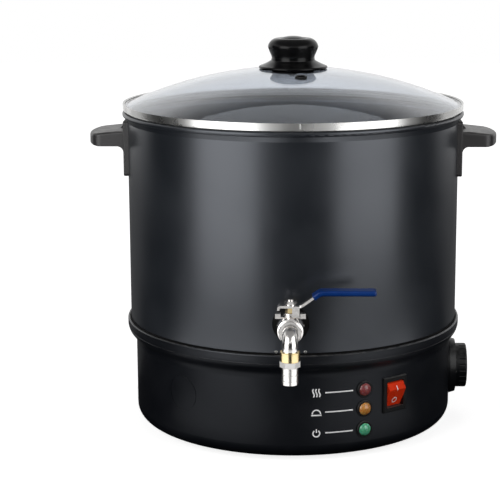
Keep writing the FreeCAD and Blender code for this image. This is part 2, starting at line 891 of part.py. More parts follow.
def tray_holes(low, high):
    holes = [rod(element_radius + tray_hole_gap, low, high, place.x, place.y)
             for place in element_tail_places()]
    holes.append(rod(cutout_radius + tray_hole_gap, low, high))
    holes.append(rod(capillary_radius + tray_hole_gap, low, high, capillary_drop().x,
                     capillary_drop().y))
    return holes


def insulation_pad():
    top = pad_bottom + pad_thickness
    return rod(pad_radius, pad_bottom, top).cut(tray_holes(pad_bottom, top))


def heat_shield():
    under = shield_floor
    over = shield_floor + shield_thickness
    flange = ledge_bottom - shield_thickness
    inner = shield_radius - shield_thickness
    dish = turned((0, under), (shield_radius, under), (shield_radius, flange),
                  (shield_flange_radius, flange), (shield_flange_radius, ledge_bottom),
                  (inner, ledge_bottom), (inner, over), (0, over))
    screw_holes = around(rod(case_screw["shank"], flange, ledge_bottom, y=-mounting_screw_circle),
                         mounting_screw_count)
    return dish.cut(tray_holes(under, over) + [screw_holes])


def thermal_cutout():
    top = plate_bottom
    body = rod(cutout_radius, top - cutout_height, top)
    blades = [block((side * cutout_blade - blade_thickness / 2, side * cutout_blade
                     + blade_thickness / 2), (-blade_width / 2, blade_width / 2),
                    (top - cutout_height - blade_length, top - cutout_height)) for side in (-1, 1)]
    return joined([body] + blades)


def capillary_drop():
    """Where the capillary passes down through the trays."""
    return V(bulb_offset, -bulb_length / 2 - capillary_lead, 0)


def thermostat_back():
    """Rear of the thermostat, whose front plate touches the curved wall along its edges."""
    front = math.sqrt(base_inner ** 2 - (thermostat_width / 2) ** 2)
    return front - thermostat_plate - thermostat_depth


def capillary_tube():
    drop = capillary_drop()
    body_top = dial_height + thermostat_height / 2 - thermostat_plate
    x = thermostat_back() + thermostat_depth / 2
    level = (body_top + shield_floor) / 2
    points = [V(bulb_offset, -bulb_length / 2, bulb_z), V(drop.x, drop.y, bulb_z),
              V(drop.x, drop.y, level), V(x, 0, level), V(x, 0, body_top)]
    return bent_rod(points, capillary_radius, 3 * capillary_radius)


# --- Controls on the base ---------------------------------------------------------------------

def thermostat_body():
    back = thermostat_back()
    plate_from = back + thermostat_depth
    body = centred(thermostat_width, thermostat_height - 2 * thermostat_plate, back, plate_from)
    plate = centred(thermostat_width, thermostat_height, plate_from, plate_from + thermostat_plate)
    body = joined([body, plate]).cut(rod(shaft_radius + slip_fit, plate_from - shaft_engagement,
                                         plate_from + thermostat_plate))
    for side in (-1, 1):
        place = side * thermostat_screw_spacing / 2
        body = body.cut(rod(panel_screw["shank"], plate_from - screw_bite,
                            plate_from + thermostat_plate, y=place))
    return outward(body, dial_height, dial_bearing)


def thermostat_screws():
    seat = bezel_face - bezel_recess
    tip = thermostat_back() + thermostat_depth - screw_bite
    head = {"shank": panel_screw["shank"], "head": panel_screw["head"],
            "height": bezel_recess - moving_gap}
    fastener = shifted(screw(head, seat - tip), z=seat)
    pair = [outward(shifted(fastener, y=side * thermostat_screw_spacing / 2), dial_height,
                    dial_bearing) for side in (-1, 1)]
    return Part.makeCompound(pair)


def dial_bezel():
    face = bezel_face
    low = base_radius - bezel_radius
    bezel = turned((0, low), (bezel_radius, low), (bezel_radius, base_radius),
                   (bezel_radius - bezel_taper, face), (bezel_recess_radius, face),
                   (bezel_recess_radius, face - bezel_recess), (0, face - bezel_recess))
    bezel = bezel.cut(rod(shaft_radius + slip_fit, low, face))
    for side in (-1, 1):
        bezel = bezel.cut(rod(panel_screw["shank"], low, face,
                              y=side * thermostat_screw_spacing / 2))
    return outward(bezel, dial_height, dial_bearing).cut(base_envelope())


def thermostat_knob():
    low = bezel_face + moving_gap
    high = low + dial_thickness
    edge = dial_radius - dial_edge, high - dial_edge
    knob = turned((0, low), (dial_radius, low), (dial_radius, edge[1]),
                  (on_arc(*edge, dial_edge, 45), (edge[0], high)), (0, high))
    flute = rod(dial_flute_radius, low + 2 * dial_edge, high, y=-dial_radius - dial_flute_radius / 2)
    pointer = block((-dial_pointer_width / 2, dial_pointer_width / 2),
                    (dial_radius / 3, dial_radius), (high - dial_pointer_depth, high))
    knob = knob.cut([around(flute, dial_flute_count), pointer,
                     rod(shaft_radius, low, low + shaft_engagement)])
    return outward(knob, dial_height, dial_bearing)


def thermostat_shaft():
    low = thermostat_back() + thermostat_depth - shaft_engagement + moving_gap
    high = bezel_face + moving_gap + shaft_engagement
    return outward(rod(shaft_radius, low, high), dial_height, dial_bearing)


def switch_cavity_height():
    return 2 * (rocker_end_radius + rocker_side_gap)


def switch_body_width():
    return rocker_width + 2 * rocker_side_gap + 2 * switch_body_wall


def switch_body_height():
    return switch_cavity_height() + 2 * switch_body_wall


def switch_face():
    """Front of the switch's frame, from the tank's axis."""
    return base_radius + switch_frame_reach


def rocker_pivot():
    return switch_face() - rocker_pivot_depth


def top_edges(solid, level):
    """Edges that lie at or above a level."""
    return [edge for edge in solid.Edges if edge.BoundBox.ZMin > level - EPSILON]


def switch_housing():
    face = switch_face()
    back = face - switch_body_depth
    frame = centred(switch_body_width() + 2 * switch_frame_side,
                    switch_body_height() + 2 * switch_frame_end, base_inner, face)
    frame = frame.makeFillet(switch_frame_edge, top_edges(frame, face))
    frame = outward(frame, switch_height, switch_bearing).cut(base_envelope())
    body = outward(centred(switch_body_width(), switch_body_height(), back,
                           face - switch_frame_edge), switch_height, switch_bearing)
    cavity = centred(rocker_width + 2 * rocker_side_gap, switch_cavity_height(),
                     rocker_pivot() - rocker_end_radius - rocker_side_gap, face)
    reach = rocker_width / 2 + rocker_side_gap + rocker_pin_bite
    socket = Part.makeCylinder(rocker_pin_radius + slip_fit, 2 * reach,
                               V(-reach, 0, rocker_pivot()), V(1, 0, 0))
    hollow = outward(cavity.fuse(socket), switch_height, switch_bearing)
    return joined([frame, body]).cut(hollow)


def switch_rocker():
    """Rocker at rest: its lower half is pressed in and its upper half stands out."""
    pivot = rocker_pivot()
    face = switch_face()

    def end_height(level):
        return math.sqrt(rocker_end_radius ** 2 - (level - pivot) ** 2)

    low_level = face - rocker_low_end
    top_level = face - rocker_high_end
    mid_low = (pivot + low_level) / 2
    mid_top = (pivot + top_level) / 2
    side = face_xz((-end_height(pivot), pivot),
                   ((-end_height(mid_low), mid_low), (-end_height(low_level), low_level)),
                   (rocker_crest_height, face + rocker_crest),
                   (end_height(top_level), top_level),
                   ((end_height(mid_top), mid_top), (end_height(pivot), pivot)),
                   ((0, pivot - rocker_depth), (-end_height(pivot), pivot)))
    solid = side.extrude(V(0, rocker_width, 0))
    solid.translate(V(0, -rocker_width / 2, 0))
    solid.rotate(ORIGIN, UP, 90)
    reach = rocker_width / 2 + rocker_side_gap + rocker_pin_bite - slip_fit
    pin = Part.makeCylinder(rocker_pin_radius, 2 * reach, V(-reach, 0, pivot), V(1, 0, 0))
    return outward(joined([solid, pin]), switch_height, switch_bearing)


def blade_set():
    back = switch_face() - switch_body_depth
    return [centred(blade_width, blade_thickness, back - blade_length, back)
            .translated(V(0, place * blade_spacing, 0)) for place in (-1, 0, 1)]


def switch_terminals():
    return Part.makeCompound([outward(blade, switch_height, switch_bearing)
                              for blade in blade_set()])


def lamp_lens(height):
    seat = base_radius + lamp_flange_reach / 2
    edge = seat + lamp_flange_reach / 2 + moving_gap
    lens = turned((0, seat), (lamp_lens_radius, seat), (lamp_lens_radius, edge),
                  dome_arc(lamp_lens_radius, edge, lamp_dome))
    return outward(lens, height, lamp_bearing)


def lamp_holders():
    face = base_radius + lamp_flange_reach
    barrel_end = base_inner - lamp_barrel_length
    flange = turned((0, base_inner), (lamp_flange_radius, base_inner),
                    (lamp_flange_radius, face - lamp_wall / 2),
                    (lamp_flange_radius - lamp_wall / 2, face), (0, face))
    holders = []
    for height in lamp_heights.values():
        ring = outward(flange, height, lamp_bearing).cut(base_envelope())
        barrel = outward(rod(lamp_barrel_radius, barrel_end, face), height, lamp_bearing)
        bore = outward(rod(lamp_barrel_radius - lamp_wall, barrel_end + lamp_wall, face),
                       height, lamp_bearing)
        holders.append(joined([ring, barrel]).cut([bore, lamp_lens(height)]))
    return Part.makeCompound(holders)


def lamp_nuts():
    """Nuts whose outer faces follow the curved wall."""
    back = base_inner - 2 * lamp_nut_thickness
    blank = tube(lamp_barrel_radius + lamp_nut_width, lamp_barrel_radius, back, base_radius)
    layer = tube(base_inner, base_inner - lamp_nut_thickness, base_bottom, seam_z)
    return Part.makeCompound([outward(blank, height, lamp_bearing).common(layer)
                              for height in lamp_heights.values()])


# --- Mains side -------------------------------------------------------------------------------

def inlet_body_width():
    return inlet_socket_width + 2 * inlet_body_wall


def inlet_body_height():
    return inlet_socket_height + 2 * inlet_body_wall


def mains_inlet():
    flange = centred(inlet_flange_width, inlet_flange_height, inlet_panel, inlet_front)
    corners = [edge for edge in flange.Edges if edge.BoundBox.ZLength > EPSILON]
    flange = flange.makeFillet(inlet_flange_corner, corners)
    body = centred(inlet_body_width(), inlet_body_height(), inlet_back, inlet_panel)
    socket = centred(inlet_socket_width, inlet_socket_height, inlet_front - inlet_socket_depth,
                     inlet_front)
    holes = [socket] + inlet_pin_solids()
    for side in (-1, 1):
        holes.append(rod(panel_screw["shank"], inlet_panel, inlet_front,
                         x=side * inlet_screw_spacing / 2))
    return outward(joined([flange, body]).cut(holes), inlet_height, inlet_bearing)


def inlet_pin_places():
    drop = -inlet_earth_rise / 2
    return [(-inlet_pin_spacing / 2, drop), (inlet_pin_spacing / 2, drop),
            (0, drop + inlet_earth_rise)]


def inlet_pin_solids():
    tip = inlet_front - inlet_socket_depth + inlet_pin_length
    return [block((x - inlet_pin_thickness / 2, x + inlet_pin_thickness / 2),
                  (z - inlet_pin_height / 2, z + inlet_pin_height / 2),
                  (inlet_back - inlet_pin_tail, tip)) for x, z in inlet_pin_places()]


def inlet_pins():
    return Part.makeCompound([outward(pin, inlet_height, inlet_bearing)
                              for pin in inlet_pin_solids()])


def inlet_screws():
    fastener = shifted(screw(panel_screw, inlet_flange_thickness + inlet_pad_reach + screw_bite),
                       z=inlet_front)
    return Part.makeCompound([
        outward(shifted(fastener, x=side * inlet_screw_spacing / 2), inlet_height, inlet_bearing)
        for side in (-1, 1)])


def terminal_block():
    top = cover_top + terminal_height
    solid = shifted(centred(terminal_length, terminal_width, cover_top, top), y=terminal_distance)
    return solid.makeFillet(terminal_edge, top_edges(solid, top))


def inlet_leads():
    """Leads from the inlet's pins forward and down to the block."""
    block_top = cover_top + terminal_height
    routes = []
    for x, z in inlet_pin_places():
        level = inlet_height + z
        routes.append([V(-x, inlet_back - inlet_pin_tail, level), V(-x, terminal_distance, level),
                       V(-x, terminal_distance, block_top)])
    return routes


def switch_leads():
    """Leads from the block to the switch's outer blades."""
    block_top = cover_top + terminal_height
    bearing = math.radians(switch_bearing)
    ahead = V(math.sin(bearing), -math.cos(bearing), 0)
    blade_end = switch_face() - switch_body_depth - blade_length
    routes = []
    for place, x in zip((-1, 1), switch_lead_places):
        run = block_top + 3 * wire_bend + x
        tip = ahead * blade_end + UP * (switch_height + place * blade_spacing)
        routes.append([V(x, terminal_distance, block_top), V(x, terminal_distance, run),
                       V(x, 0, run), tip - ahead * 6 * wire_bend, tip])
    return routes


def heater_leads():
    """Leads to the element's two tails, from the block and from the thermostat."""
    block_top = cover_top + terminal_height
    first, second = element_tail_places()
    rise = UP * element_tail_bottom
    back = thermostat_back()
    return [[first + UP * block_top, first + rise],
            [V(back, thermostat_lead_offset, dial_height),
             V(back - 4 * wire_bend, thermostat_lead_offset, dial_height),
             second + UP * (dial_height - wire_bend), second + rise]]


def wiring():
    routes = inlet_leads() + switch_leads() + heater_leads()
    return Part.makeCompound([bent_rod(route, wire_radius, wire_bend) for route in routes])


# --- Handles ----------------------------------------------------------------------------------

def handle_plan():
    """Grip seen from above: straight sides, a bowed nose and rounded corners."""
    inner, corner = tank_inner, handle_nose - handle_nose_bow
    half = handle_half_width
    outline = [Part.makeLine(V(inner, -half, 0), V(corner, -half, 0)),
               Part.Arc(V(corner, -half, 0), V(handle_nose, 0, 0), V(corner, half, 0)).toShape(),
               Part.makeLine(V(corner, half, 0), V(inner, half, 0)),
               Part.makeLine(V(inner, half, 0), V(inner, -half, 0))]
    plan = Part.Face(Part.Wire(outline)).extrude(V(0, 0, handle_thickness))
    uprights = [edge for edge in plan.Edges if edge.BoundBox.ZLength > EPSILON
                and edge.BoundBox.XMin > inner + EPSILON]
    return shifted(plan.makeFillet(handle_nose_corner, uprights), z=handle_bottom)


def handle_grip():
    inner, outer = tank_inner, handle_nose + 1
    nose_top = handle_top - handle_nose_drop
    nose_bottom = handle_bottom + handle_nose_lift
    pocket_start = handle_plate_face + handle_root_wall
    side = extruded(face_xz((inner, handle_bottom), (handle_nose - handle_nose_length, handle_bottom),
                            (outer, nose_bottom), (outer, nose_top),
                            (pocket_start, handle_top), (inner, handle_top)),
                    handle_half_width + 1)
    grip = handle_plan().common(side)
    rounded = [edge for edge in grip.Edges if edge.BoundBox.ZMin > nose_top - 1
               and edge.BoundBox.XMax > pocket_start
               and not (edge.BoundBox.YLength > 2 * handle_half_width - 1
                        and edge.BoundBox.XLength < EPSILON)]
    return grip.makeFillet(handle_edge, rounded)


def handle_plate():
    half = handle_half_width + handle_plate_margin
    plate = block((tank_inner - handle_plate_thickness, handle_plate_face), (-half, half),
                  (handle_plate_bottom, handle_plate_top))
    corners = [edge for edge in plate.Edges if edge.BoundBox.XLength > EPSILON]
    plate = plate.makeFillet(handle_edge, corners)
    rounded = [edge for edge in plate.Edges if edge.BoundBox.XMin > handle_plate_face - EPSILON]
    return plate.makeFillet(handle_plate_edge, rounded)


def handle_gussets():
    """Rounded root below the grip and a small rib above it."""
    face, root = handle_plate_face - 1, handle_root
    centre = handle_plate_face + root, handle_bottom - root
    under = face_xz((face, handle_bottom + 1), (centre[0], handle_bottom + 1),
                    (centre[0], handle_bottom),
                    (on_arc(*centre, root, 135), (handle_plate_face, centre[1])), (face, centre[1]))
    above = face_xz((face, handle_top - 1), (face + root, handle_top - 1),
                    (face + root, handle_top), (face + 1, handle_top + root), (face, handle_top + root))
    return [extruded(under, handle_half_width - 1), extruded(above, handle_edge)]


def handle_screw_bearings():
    return [side * 90 + offset for side in (-1, 1)
            for offset in (-handle_screw_bearing, handle_screw_bearing)]


def handle_screw_holes(tip):
    """Holes from inside the tank's wall out to the screws' tips."""
    cutter = rod(handle_screw["shank"], tank_inner - drill_run, tip)
    return [outward(cutter, handle_screw_height, bearing) for bearing in handle_screw_bearings()]


def handle_pocket():
    """Finger space under the grip, open at the bottom."""
    half = handle_half_width - handle_side_wall
    pocket = block((handle_plate_face + handle_root_wall, handle_nose - handle_nose_wall),
                   (-half, half), (handle_bottom - handle_root - 1, handle_top - handle_roof))
    uprights = [edge for edge in pocket.Edges if edge.BoundBox.ZLength > EPSILON
                and edge.BoundBox.XMin > handle_plate_face + handle_root_wall + EPSILON]
    return pocket.makeFillet(handle_pocket_corner, uprights)


def handle(side):
    body = joined([handle_plate(), handle_grip()] + handle_gussets())
    wall = rod(tank_radius, handle_plate_bottom, handle_plate_top)
    body = body.cut([handle_pocket(), wall, tank_blank()])
    if side < 0:
        body = body.mirror(ORIGIN, V(1, 0, 0))
    return body.cut(handle_screw_holes(tank_radius + handle_screw_engagement))


def handle_screws():
    seat = math.sqrt(tank_inner ** 2 - handle_screw["head"] ** 2)
    fastener = upside_down(screw(handle_screw, tank_radius + handle_screw_engagement - seat), seat)
    return Part.makeCompound([outward(fastener, handle_screw_height, bearing)
                              for bearing in handle_screw_bearings()])


# --- Valve and spout --------------------------------------------------------------------------

def tank_cylinder(radius):
    return rod(radius, skirt_z, bead_z)


def valve_gasket():
    disc = tube(gasket_radius, nipple_radius, tank_inner, valve_start)
    return outward(disc, valve_height).cut(tank_cylinder(tank_radius))


def inner_washer():
    disc = tube(washer_radius, nipple_radius, locknut_face, tank_inner)
    return outward(disc, valve_height).common(tank_cylinder(tank_inner))


def nipple_locknut():
    low = locknut_face - locknut_thickness
    nut = hexagon(locknut_across_flats, low, locknut_face)
    return outward(nut.cut(rod(nipple_radius, low, locknut_face)), valve_height)


def inlet_nipple():
    return outward(tube(nipple_radius, flow_radius, nipple_inside, chamber_start), valve_height)


def valve_body():
    hex_end = valve_start + valve_hex_length
    neck = valve_neck_radius
    barrel = turned((0, hex_end - 1), (neck, hex_end - 1), (neck, hex_end),
                    ((valve_barrel_radius, stem_distance), (neck, chamber_end)), (0, chamber_end))
    hexed = hexagon(valve_hex_across_flats, valve_start, hex_end)
    boss = rod(stem_boss_radius, valve_height, stem_boss_top, y=-stem_distance)
    hollow = [outward(rod(chamber_radius, chamber_start, chamber_end), valve_height),
              outward(rod(nipple_radius, valve_start, stem_distance), valve_height),
              rod(stem_radius + slip_fit, valve_height, stem_boss_top, y=-stem_distance)]
    return joined([outward(joined([hexed, barrel]), valve_height), boss] + valve_lugs()).cut(hollow)


def valve_lugs():
    """Two upright stops for the lever, on a web across the barrel."""
    depth = (-stem_distance - lug_half_width, -stem_distance + lug_half_width)
    low, middle, high = [valve_height + rise for rise in (lug_bottom, lug_web_top, lug_top)]
    outer = lug_inner + lug_thickness
    lugs = [block(sorted((side * lug_inner, side * outer)), depth, (middle - 1, high))
            for side in (-1, 1)]
    return [block((-outer, outer), depth, (low, middle))] + lugs


def valve_end_cap():
    """Cap with a groove ahead of its end ring, bored to take the bent pipe."""
    ring_start = elbow_start - end_ring_length
    ring_radius = end_cap_radius - end_ring_step
    groove_radius = ring_radius - end_ring_groove
    edge = end_ring_edge
    cap = turned((0, chamber_end), (end_cap_radius, chamber_end),
                 (end_cap_radius, ring_start - end_ring_groove - edge),
                 (groove_radius, ring_start - edge), (groove_radius, ring_start),
                 (ring_radius, ring_start + edge), (ring_radius, elbow_start - edge),
                 (ring_radius - edge, elbow_start), (0, elbow_start))
    cap = cap.cut([rod(flow_radius, chamber_end, elbow_start),
                   rod(pipe_radius, elbow_start - elbow_entry, elbow_start)])
    return outward(cap, valve_height)


def ball_seats():
    ball = Part.makeSphere(ball_radius + slip_fit, V(0, -stem_distance, valve_height))
    starts = chamber_start, chamber_end - seat_depth
    return Part.makeCompound([
        outward(tube(chamber_radius, flow_radius, start, start + seat_depth), valve_height).cut(ball)
        for start in starts])


def valve_stem():
    top = lever_plate_top + stem_nut_height + stem_top_clear
    low = valve_height + ball_radius - stem_radius
    return rod(stem_radius, low, top, y=-stem_distance)


def valve_ball():
    """The ball's bore lies across the flow while the valve is shut."""
    centre = V(0, -stem_distance, valve_height)
    bore = Part.makeCylinder(flow_radius, 4 * ball_radius, centre - V(2 * ball_radius, 0, 0),
                             V(1, 0, 0))
    return Part.makeSphere(ball_radius, centre).cut([bore, valve_stem()])


def gland_nut():
    low, high = stem_boss_top, stem_boss_top + gland_height
    nut = hexagon(gland_across_flats, low, high, y=-stem_distance)
    return nut.cut(rod(stem_radius + slip_fit, low, high, y=-stem_distance))


def spout_pipe():
    """Bent pipe from the valve's end cap down to the coupler."""
    entry = outward(tube(pipe_radius, pipe_bore, elbow_start - elbow_entry, elbow_start),
                    valve_height)
    corner = V(0, -elbow_start, valve_height - elbow_bend)
    rings = [Part.Wire(Part.makeCircle(radius, V(0, -elbow_start, valve_height), V(0, 1, 0)))
             for radius in (pipe_radius, pipe_bore)]
    bend = Part.Face(rings).revolve(corner, V(1, 0, 0), 90)
    drop = tube(pipe_radius, pipe_bore, pipe_bottom, valve_height - elbow_bend, y=-spout_distance)
    return joined([entry, bend, drop])


def brass_coupler():
    low, high, outer = coupler_bottom, coupler_top, pipe_radius + coupler_width
    rim = outer - coupler_chamfer
    ring = turned((pipe_radius, low), (rim, low), (outer, low + coupler_chamfer),
                  (outer, high - coupler_chamfer), (rim, high), (pipe_radius, high))
    return shifted(ring, y=-spout_distance)


def hose_tail():
    tail = turned((0, tail_bottom), (tail_radius - tail_chamfer, tail_bottom),
                  (tail_radius, tail_bottom + tail_chamfer), (tail_radius, tail_hex_bottom),
                  (0, tail_hex_bottom))
    thread = rod(pipe_radius, coupler_bottom, pipe_bottom)
    body = joined([tail, hexagon(tail_hex_across_flats, tail_hex_bottom, coupler_bottom), thread])
    grooves = [Part.makeTorus(tail_radius, tail_groove, V(0, 0, tail_hex_bottom - place))
               for place in tail_groove_places]
    return shifted(body.cut(grooves + [rod(tail_bore, tail_bottom, pipe_bottom)]),
                   y=-spout_distance)


def lever_line():
    """Middle line of the lever's sheet, from the hook to the end of the blade."""
    middle = (lever_plate_bottom + lever_plate_top) / 2
    hook = -lever_hook_reach + lever_thickness / 2
    return [(hook, middle - lever_hook_drop), (hook, middle), (lever_bend_start, middle),
            (lever_bend_end, middle + lever_rise), (lever_length, middle + lever_rise)]


def lever_plan():
    """Widths of the lever seen from above."""
    upper = [(-lever_hook_reach - 1, lever_half_width),
             (lever_bend_start - lever_neck_taper, lever_half_width),
             (lever_bend_start, lever_neck_half_width),
             (lever_bend_end - lever_blade_taper, lever_neck_half_width),
             (lever_bend_end, lever_blade_half_width), (lever_length + 1, lever_blade_half_width)]
    ring = upper + [(x, -y) for x, y in reversed(upper)] + upper[:1]
    low = lever_plate_bottom - lever_hook_drop - lever_thickness
    high = lever_plate_top + lever_rise + lever_thickness
    face = Part.Face(Part.makePolygon([V(x, y, low) for x, y in ring]))
    return face.extrude(V(0, 0, high - low))


def tap_lever():
    bends = [lever_hook_bend, lever_bend, lever_bend]
    blade = extruded(bent_strip(lever_line(), bends, lever_thickness), lever_half_width)
    blade = blade.common(lever_plan())
    width = (lug_inner - lug_clear - lever_tab_width, lug_inner - lug_clear)
    tab_bottom = valve_height + valve_barrel_radius + moving_gap
    tab = block(width, (-lever_tab_far, -lever_tab_near), (tab_bottom, lever_plate_top))
    bridge = block(width, (-lever_tab_far, 0), (lever_plate_bottom, lever_plate_top))
    lever = shifted(joined([blade, tab, bridge]), y=-stem_distance)
    return lever.cut(valve_stem())


def lever_sleeve():
    bend, turn, tip = lever_line()[2:]
    along = sleeve_start / lever_rise_run
    start = bend[0] + sleeve_start, bend[1] + lever_rise * along
    end = tip[0] + sleeve_overhang, tip[1]
    thickness = lever_thickness + 2 * sleeve_wall
    outside = extruded(bent_strip([start, turn, end], [lever_bend], thickness), sleeve_half_width)
    long_edges = [edge for edge in outside.Edges if edge.BoundBox.YLength < EPSILON
                  and edge.BoundBox.XLength > thickness]
    tip_edges = [edge for edge in outside.Edges if edge.BoundBox.XMin > end[0] - EPSILON]
    outside = outside.makeFillet(sleeve_edge, long_edges + tip_edges)
    return shifted(outside, y=-stem_distance).cut(tap_lever())


def stem_nut():
    low = lever_plate_top
    collar = rod(stem_nut_across_flats / 2, low, low + stem_nut_collar, y=-stem_distance)
    nut = hexagon(stem_nut_across_flats, low + stem_nut_collar, low + stem_nut_height,
                  y=-stem_distance)
    return joined([collar, nut]).cut(valve_stem())


# --- Lid --------------------------------------------------------------------------------------

def lid_band():
    """Folded steel band: channel round the glass, shelf on the bead, lip inside the tank."""
    half = band_sheet / 2
    middle = band_radius - half
    floor = middle - band_floor
    lip = band_lip_radius - half
    shelf = band_bottom + half
    line = [(band_radius - band_top_width, glass_land_top + half), (middle, band_top - half),
            (middle, channel_bottom + half), (floor, channel_bottom + half), (floor, shelf),
            (lip, shelf), (lip, shelf - band_lip_depth)]
    return turned(*strip(line, band_sheet))


def glass_sphere():
    return dome_radius(glass_land_radius, glass_rise)


def lid_glass_blank():
    """Dome with a flat rim, before its holes are drilled."""
    inner = glass_sphere() - glass_thickness
    inner_rise = glass_top - glass_thickness - glass_seat
    inner_land = math.sqrt(inner ** 2 - (inner - inner_rise) ** 2)
    edge = band_radius - band_sheet - glass_edge_gap
    outside = turned((0, glass_seat), (edge, glass_seat), (edge, glass_land_top),
                     (glass_land_radius, glass_land_top),
                     dome_arc(glass_land_radius, glass_land_top, glass_rise))
    hollow = turned((0, glass_seat), (inner_land, glass_seat),
                    dome_arc(inner_land, glass_seat, inner_rise))
    return outside.cut(hollow)


def vent_tilted(shape):
    """Set a piece on the glass at the vent, square to the dome."""
    distance = math.hypot(vent_x, vent_y)
    tilt = math.degrees(math.asin(distance / glass_sphere()))
    placed = shape.copy()
    placed.rotate(V(0, 0, glass_top - glass_sphere()), V(1, 0, 0), tilt)
    placed.rotate(ORIGIN, UP, math.degrees(math.atan2(vent_x, -vent_y)))
    return placed


def lid_glass():
    low, high = glass_top - 2 * glass_thickness, glass_top + glass_thickness
    holes = [rod(knob_sleeve_radius, low, high), vent_tilted(rod(vent_sleeve_radius, low, high))]
    return lid_glass_blank().cut(holes)


def vent_grommet():
    top = glass_top + vent_flange
    bottom = glass_top - glass_thickness - vent_flange
    solid = rod(vent_sleeve_radius + vent_flange_width, bottom, top)
    rims = [edge for edge in solid.Edges if edge.BoundBox.ZLength < EPSILON]
    solid = solid.makeFillet(vent_flange / 2, rims).cut(rod(vent_bore, bottom, top))
    return vent_tilted(solid).cut(lid_glass())


def knob_skirt():
    foot = glass_top - glass_thickness / 2
    edge = skirt_radius - skirt_edge, glass_top + skirt_edge_height - skirt_edge
    neck = glass_top + knob_neck_rise
    skirt = turned((0, foot), (edge[0], foot), (skirt_radius, edge[1]),
                   (on_arc(*edge, skirt_edge, 45), (edge[0], edge[1] + skirt_edge)),
                   ((knob_neck_radius + skirt_sweep_out, neck - skirt_sweep_down),
                    (knob_neck_radius, neck)),
                   (0, neck))
    return skirt.cut([lid_glass_blank(), rod(knob_screw_radius, foot, neck)])


def lid_knob():
    low = glass_top + knob_neck_rise
    shoulder = low + knob_neck_height
    wide = glass_top + knob_head_rise
    top = glass_top + knob_height
    neck, head = knob_neck_radius, knob_head_radius
    step = neck + knob_step_out, shoulder + knob_step_up
    crown = knob_crown_radius, top - knob_crown_rise
    body = turned((0, low), (neck, low),
                  ((neck - knob_neck_waist, (low + shoulder) / 2), (neck, shoulder)), step,
                  ((head - knob_belly, (step[1] + wide) / 2), (head, wide)),
                  ((head - knob_brow_in, wide + knob_brow_up), crown),
                  dome_arc(*crown, knob_crown_rise))
    return body.cut(rod(knob_screw_radius, low, low + knob_screw_depth - knob_neck_rise))


def knob_washer():
    """Washer under the glass with a sleeve up through its hole."""
    under = glass_top - glass_thickness
    low = under - knob_washer_thickness
    disc = rod(knob_washer_radius, low, under)
    sleeve = rod(knob_sleeve_radius, under, glass_top)
    return joined([disc, sleeve]).cut([lid_glass(), knob_skirt(),
                                       rod(knob_screw_radius, low, glass_top)])


def knob_fastener():
    seat = glass_top - glass_thickness - knob_washer_thickness
    length = glass_top + knob_screw_depth - seat
    return upside_down(screw(knob_screw, length), seat)


# --- Sub-parts --------------------------------------------------------------------------------

parts = {
    "tank": tank(),
    "base_shell": base_shell(),
    "collar_ring": collar_ring(),
    "collar_screws": collar_screws(),
    "mounting_ring": mounting_ring(),
    "mounting_screws": mounting_screws(),
    "bottom_cover": bottom_cover(),
    "cover_screws": cover_screws(),
    "foot_ring": foot_ring(),
    "heating_plate": heating_plate(),
    "heating_element": heating_element(),
    "insulation_pad": insulation_pad(),
    "heat_shield": heat_shield(),
    "thermal_cutout": thermal_cutout(),
    "sensing_bulb": sensing_bulb(),
    "capillary_tube": capillary_tube(),
    "thermostat_body": thermostat_body(),
    "thermostat_screws": thermostat_screws(),
    "dial_bezel": dial_bezel(),
    "thermostat_knob": thermostat_knob(),
    "thermostat_shaft": thermostat_shaft(),
    "switch_housing": switch_housing(),
    "switch_rocker": switch_rocker(),
    "switch_terminals": switch_terminals(),
    "lamp_holders": lamp_holders(),
    "lamp_nuts": lamp_nuts(),
    "mains_inlet": mains_inlet(),
    "inlet_pins": inlet_pins(),
    "inlet_screws": inlet_screws(),
    "terminal_block": terminal_block(),
    "wiring": wiring(),
    "handle_left": handle(-1),
    "handle_right": handle(1),
    "handle_screws": handle_screws(),
    "valve_gasket": valve_gasket(),
    "inner_washer": inner_washer(),
    "nipple_locknut": nipple_locknut(),
    "inlet_nipple": inlet_nipple(),
    "valve_body": valve_body(),
    "valve_end_cap": valve_end_cap(),
    "ball_seats": ball_seats(),
    "valve_ball": valve_ball(),
    "valve_stem": valve_stem(),
    "gland_nut": gland_nut(),
    "tap_lever": tap_lever(),
    "lever_sleeve": lever_sleeve(),
    "stem_nut": stem_nut(),
    "spout_pipe": spout_pipe(),
    "brass_coupler": brass_coupler(),
    "hose_tail": hose_tail(),
    "lid_glass": lid_glass(),
    "lid_band": lid_band(),
    "lid_knob": lid_knob(),
    "knob_skirt": knob_skirt(),
    "knob_screw": knob_fastener(),
    "knob_washer": knob_washer(),
    "vent_grommet": vent_grommet(),
}
for colour, lamp_height in lamp_heights.items():
    parts["lamp_lens_" + colour] = lamp_lens(lamp_height)

os.makedirs("parts", exist_ok=True)
for name, shape in parts.items():
    shape.exportStep("parts/" + name + ".step")
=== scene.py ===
import bmesh
import bpy
import math
from mathutils import Matrix, Vector


